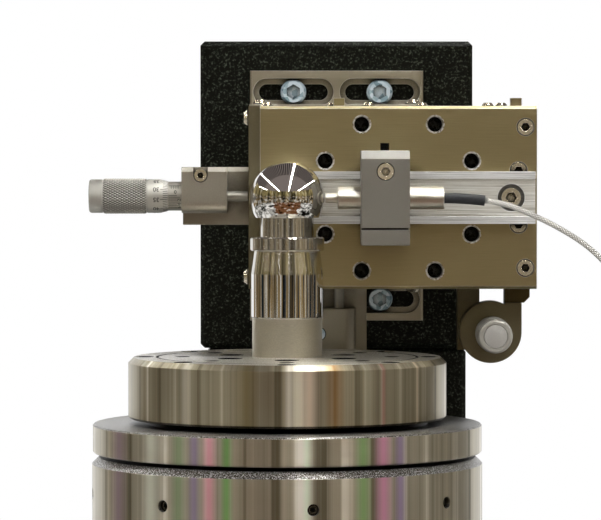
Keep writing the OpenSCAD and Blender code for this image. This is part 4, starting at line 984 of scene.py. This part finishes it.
def wall_colour(tree):
    """Tall doors above, a clutter of things below, brighter in some places than in others."""
    place = add(tree, "TexCoord", out="Object")
    tall = add(tree, "Mapping", {"Vector": place, "Scale": (1, 1, 0.3)})
    doors = add(tree, "TexNoise", {"Vector": tall, "Scale": 1.5, "Detail": 5, "Roughness": 0.6})
    upper = add(tree, "ValToRGB", [doors], stops=hex_stops(
        (0.36, "#2f2b20"), (0.46, "#7d724e"), (0.54, "#a0905e"), (0.62, "#d8d2bc")))
    things = add(tree, "TexNoise", {"Vector": place, "Scale": 1.5, "Detail": 6, "Roughness": 0.7})
    lower = add(tree, "ValToRGB", [things], stops=hex_stops(
        (0.39, "#0b0a08"), (0.43, "#3d464c"), (0.47, "#6f5a38"), (0.5, "#a0875a"), (0.53, "#66604d"),
        (0.57, "#f2efe6"), (0.6, "#3a372f"), (0.65, "#ffffff")))
    low = add(tree, "MapRange", {"Value": object_parts(tree)["Z"], "From Min": SHELF_HIGH, "From Max": SHELF_LOW})
    room = add(tree, "Mix", {0: low, 6: upper, 7: lower}, 2, data_type="RGBA")
    flat = add(tree, "VectorMath", [place, (1, 1, 0)], operation="MULTIPLY")
    broad = add(tree, "TexNoise", {"Vector": flat, "Scale": 0.62, "Detail": 1})
    bright = add(tree, "ValToRGB", [broad], stops=[(0.4, grey(0.33)), (0.5, grey(0.8)), (0.6, grey(1.08))])
    return add(tree, "VectorMath", [room, bright], operation="MULTIPLY")


def ceiling_colour(tree):
    """Strip lights that look slimmer further off, and dark ribs over the rig."""
    parts = object_parts(tree)
    beside = add(tree, "Math", [parts["X"], LIGHT_SHIFT], operation="SUBTRACT")
    light = add(tree, "Math", [beside, LIGHT_PITCH / 2], operation="PINGPONG")
    away = add(tree, "Math", [parts["Y"]], operation="ABSOLUTE")
    slim = add(tree, "Math", [away, LIGHT_SLIMMING, light], operation="MULTIPLY_ADD")
    strips = add(tree, "ValToRGB", [slim], stops=[
        (0.05, (52, 52, 50, 1)), (0.06, linear("#a29a95")), (0.3, linear("#7d7470"))])
    ribs = add(tree, "Math", [parts["X"], RIB_PITCH / 2], operation="PINGPONG")
    lines = add(tree, "ValToRGB", [ribs], stops=[(0.02, grey(0.06)), (0.045, grey(1))])
    ribbed = add(tree, "MapRange", {"Value": parts["Y"], "From Min": RIBS_FROM - SOFT_EDGE, "From Max": RIBS_FROM})
    shades = add(tree, "Mix", {0: ribbed, 6: grey(1), 7: lines}, 2, data_type="RGBA")
    return add(tree, "VectorMath", [strips, shades], operation="MULTIPLY")


def floor_colour(tree):
    """Warm boards in a wedge to the front, benches on both sides of it and a pale table under the rig."""
    place = add(tree, "TexCoord", out="Object")
    parts = object_parts(tree)
    noise = add(tree, "TexNoise", {"Vector": place, "Scale": 1.5, "Detail": 5, "Roughness": 0.65})
    benches = add(tree, "ValToRGB", [noise], stops=hex_stops(
        (0.4, "#0f0e0c"), (0.45, "#5b5a56"), (0.5, "#c9c8c4"), (0.53, "#6f6a5c"), (0.57, "#f6f5f2")))
    boards = add(tree, "ValToRGB", [noise], stops=hex_stops(
        (0.4, "#1d1610"), (0.44, "#69462e"), (0.58, "#7e573b"), (0.63, "#cfccc4")))
    aside = add(tree, "Math", [parts["X"]], operation="ABSOLUTE")
    wedge = add(tree, "Math", [aside, parts["Y"]], operation="ADD")
    ragged = add(tree, "Math", [noise, 4, wedge], operation="MULTIPLY_ADD")
    beside = add(tree, "MapRange", {"Value": ragged, "From Min": 1.85, "From Max": 1.95})
    room = add(tree, "Mix", {0: beside, 6: boards, 7: benches}, 2, data_type="RGBA")
    near = add(tree, "MapRange", {"Value": from_axis(tree), "From Min": TABLE_REACH,
                                  "From Max": TABLE_REACH - 0.05})
    table = add(tree, "ValToRGB", [noise], stops=hex_stops((0.42, "#2b2a26"), (0.46, "#e9e8e4")))
    return add(tree, "Mix", {0: near, 6: room, 7: table}, 2, data_type="RGBA")


def card(name, vertices, faces, material):
    """A flat mesh of the stage."""
    mesh = bpy.data.meshes.new(name)
    mesh.from_pydata(vertices, [], faces)
    mesh.materials.append(material)
    made = bpy.data.objects.new(name, mesh)
    bpy.context.scene.collection.objects.link(made)
    return made


def room_card(name, vertices, faces, shade_of):
    """A glowing card that only shows in reflections, with a colour that a function makes in its tree."""
    material, tree, shader = finish(name, grey(0), 0, 1)
    glow = add(tree, "Emission", {"Color": shade_of(tree), "Strength": 1})
    plug(tree, tree.nodes["Material Output"], {"Surface": glow})
    tree.nodes.remove(shader)
    made = card(name, vertices, faces, material)
    made.visible_camera = False
    made.visible_diffuse = False
    made.visible_shadow = False
    made.visible_transmission = False


class RIG_OT_studio(bpy.types.Operator):
    """Sets the camera, the floor, the lamps and the cards that the metal mirrors"""
    bl_idname = "rig.studio"
    bl_label = "Studio"

    def execute(self, context):
        scene = context.scene
        scene.view_settings.view_transform = "Standard"
        self.camera(scene)
        self.world(scene)
        self.floor(scene)
        self.cards()
        self.lamps(scene)
        return {"FINISHED"}

    def camera(self, scene):
        lens = bpy.data.cameras.new("camera")
        lens.sensor_fit = "HORIZONTAL"
        lens.sensor_width = SENSOR
        lens.lens = FOCAL_PIXELS * SENSOR / PHOTO_WIDTH
        lens.clip_end = 20
        made = bpy.data.objects.new("camera", lens)
        made.location = Vector(CAMERA_PLACE) * MM
        made.rotation_euler = (math.radians(90 - CAMERA_PITCH), 0, 0)
        scene.collection.objects.link(made)
        scene.camera = made

    def world(self, scene):
        """White where it is seen or mirrored, and softer as light."""
        world = bpy.data.worlds.new("studio")
        world.use_nodes = True
        tree = world.node_tree
        path = add(tree, "LightPath").node.outputs
        seen = add(tree, "Math", [path["Is Camera Ray"], path["Is Glossy Ray"]], operation="MAXIMUM")
        shown = add(tree, "Math", [seen, path["Is Transmission Ray"]], operation="MAXIMUM")
        strength = add(tree, "Math", [shown, 1 - WORLD_LIGHT, WORLD_LIGHT], operation="MULTIPLY_ADD")
        plug(tree, tree.nodes["Background"], {"Color": grey(1), "Strength": strength})
        scene.world = world

    def floor(self, scene):
        """A pale round floor that fades to white at its rim and keeps the shadow."""
        radius = scene.rig_sizes.floor
        made, tree, shader = finish("pale_floor", scene.rig_colours.floor, 0, 0.9)
        place = add(tree, "TexCoord", out="Object")
        reach = add(tree, "VectorMath", [place], "Value", operation="LENGTH")
        fade = add(tree, "MapRange", {"Value": reach, "From Min": 0.4 * radius, "From Max": 0.98 * radius},
                   interpolation_type="SMOOTHSTEP")
        white = add(tree, "Emission", {"Color": grey(1), "Strength": 1})
        both = add(tree, "MixShader", [fade, shader.outputs["BSDF"], white])
        plug(tree, tree.nodes["Material Output"], {"Surface": both})
        spots = [math.tau * k / FLOOR_SEGMENTS for k in range(FLOOR_SEGMENTS)]
        rim = [(radius * math.cos(t), radius * math.sin(t), -FLOOR_GAP) for t in spots]
        card("floor", rim, [tuple(range(FLOOR_SEGMENTS))], made).visible_glossy = False

    def cards(self):
        """The room that the metal mirrors: a wall with things along it, a floor and a ceiling with lights."""
        turns = [WALL_SPREAD * (2 * k / WALL_STEPS - 1) for k in range(WALL_STEPS + 1)]
        foot = [(WALL_RADIUS * math.sin(t), -WALL_RADIUS * math.cos(t), ROOM_FLOOR) for t in turns]
        head = [(x, y, ROOM_CEILING) for x, y, z in foot]
        quads = [(k, k + 1, k + 2 + WALL_STEPS, k + 1 + WALL_STEPS) for k in range(WALL_STEPS)]
        room_card("wall_card", foot + head, quads, wall_colour)
        for name, height, reach, shade_of in (("ceiling_card", ROOM_CEILING, CEILING_REACH, ceiling_colour),
                                              ("floor_card", ROOM_FLOOR, FLOOR_REACH, floor_colour)):
            corners = [(x * reach, y * reach, height) for x, y in ((-1, -1), (1, -1), (1, 0.6), (-1, 0.6))]
            room_card(name, corners, [(0, 1, 2, 3)], shade_of)

    def lamps(self, scene):
        """Soft lamps for what isn't metal; the metal mirrors the room alone."""
        target = Vector((0.02, 0.02, 0.22))
        for name, place, width, height, power in (
                ("key", (-0.9, -1.5, 1.7), 1.2, 1.2, 16), ("fill", (1.5, -1.2, 0.9), 1.0, 1.4, 7),
                ("rim", (0.3, 1.4, 1.6), 1.4, 0.8, 10)):
            lamp = bpy.data.lights.new(name, "AREA")
            lamp.shape = "RECTANGLE"
            lamp.size, lamp.size_y = width, height
            lamp.energy = power
            made = bpy.data.objects.new(name, lamp)
            made.location = place
            made.rotation_euler = (target - made.location).to_track_quat("-Z", "Y").to_euler()
            made.visible_glossy = False
            scene.collection.objects.link(made)


class RIG_PT_panel(bpy.types.Panel):
    """Lists the steps that dress the rig"""
    bl_idname = "RIG_PT_panel"
    bl_label = "Nanopositioning stage"
    bl_space_type = "VIEW_3D"
    bl_region_type = "UI"
    bl_category = "Stage"

    def draw(self, context):
        for step in STEPS:
            self.layout.operator(step.bl_idname)
        for group in (context.scene.rig_sizes, context.scene.rig_colours):
            for name in group.__annotations__:
                self.layout.prop(group, name)


STEPS = (RIG_OT_studio, RIG_OT_cable, RIG_OT_micrometers, RIG_OT_ball, RIG_OT_finishes)
CLASSES = (RigColours, RigSizes) + STEPS + (RIG_PT_panel,)


def register():
    for made in CLASSES:
        bpy.utils.register_class(made)
    bpy.types.Scene.rig_colours = bpy.props.PointerProperty(type=RigColours)
    bpy.types.Scene.rig_sizes = bpy.props.PointerProperty(type=RigSizes)


def unregister():
    del bpy.types.Scene.rig_sizes
    del bpy.types.Scene.rig_colours
    for made in reversed(CLASSES):
        bpy.utils.unregister_class(made)


def main():
    register()
    bpy.ops.rig.studio()
    bpy.ops.rig.cable()
    bpy.ops.rig.micrometers()
    bpy.ops.rig.ball()
    bpy.ops.rig.finishes()


if __name__ == "__main__":
    main()
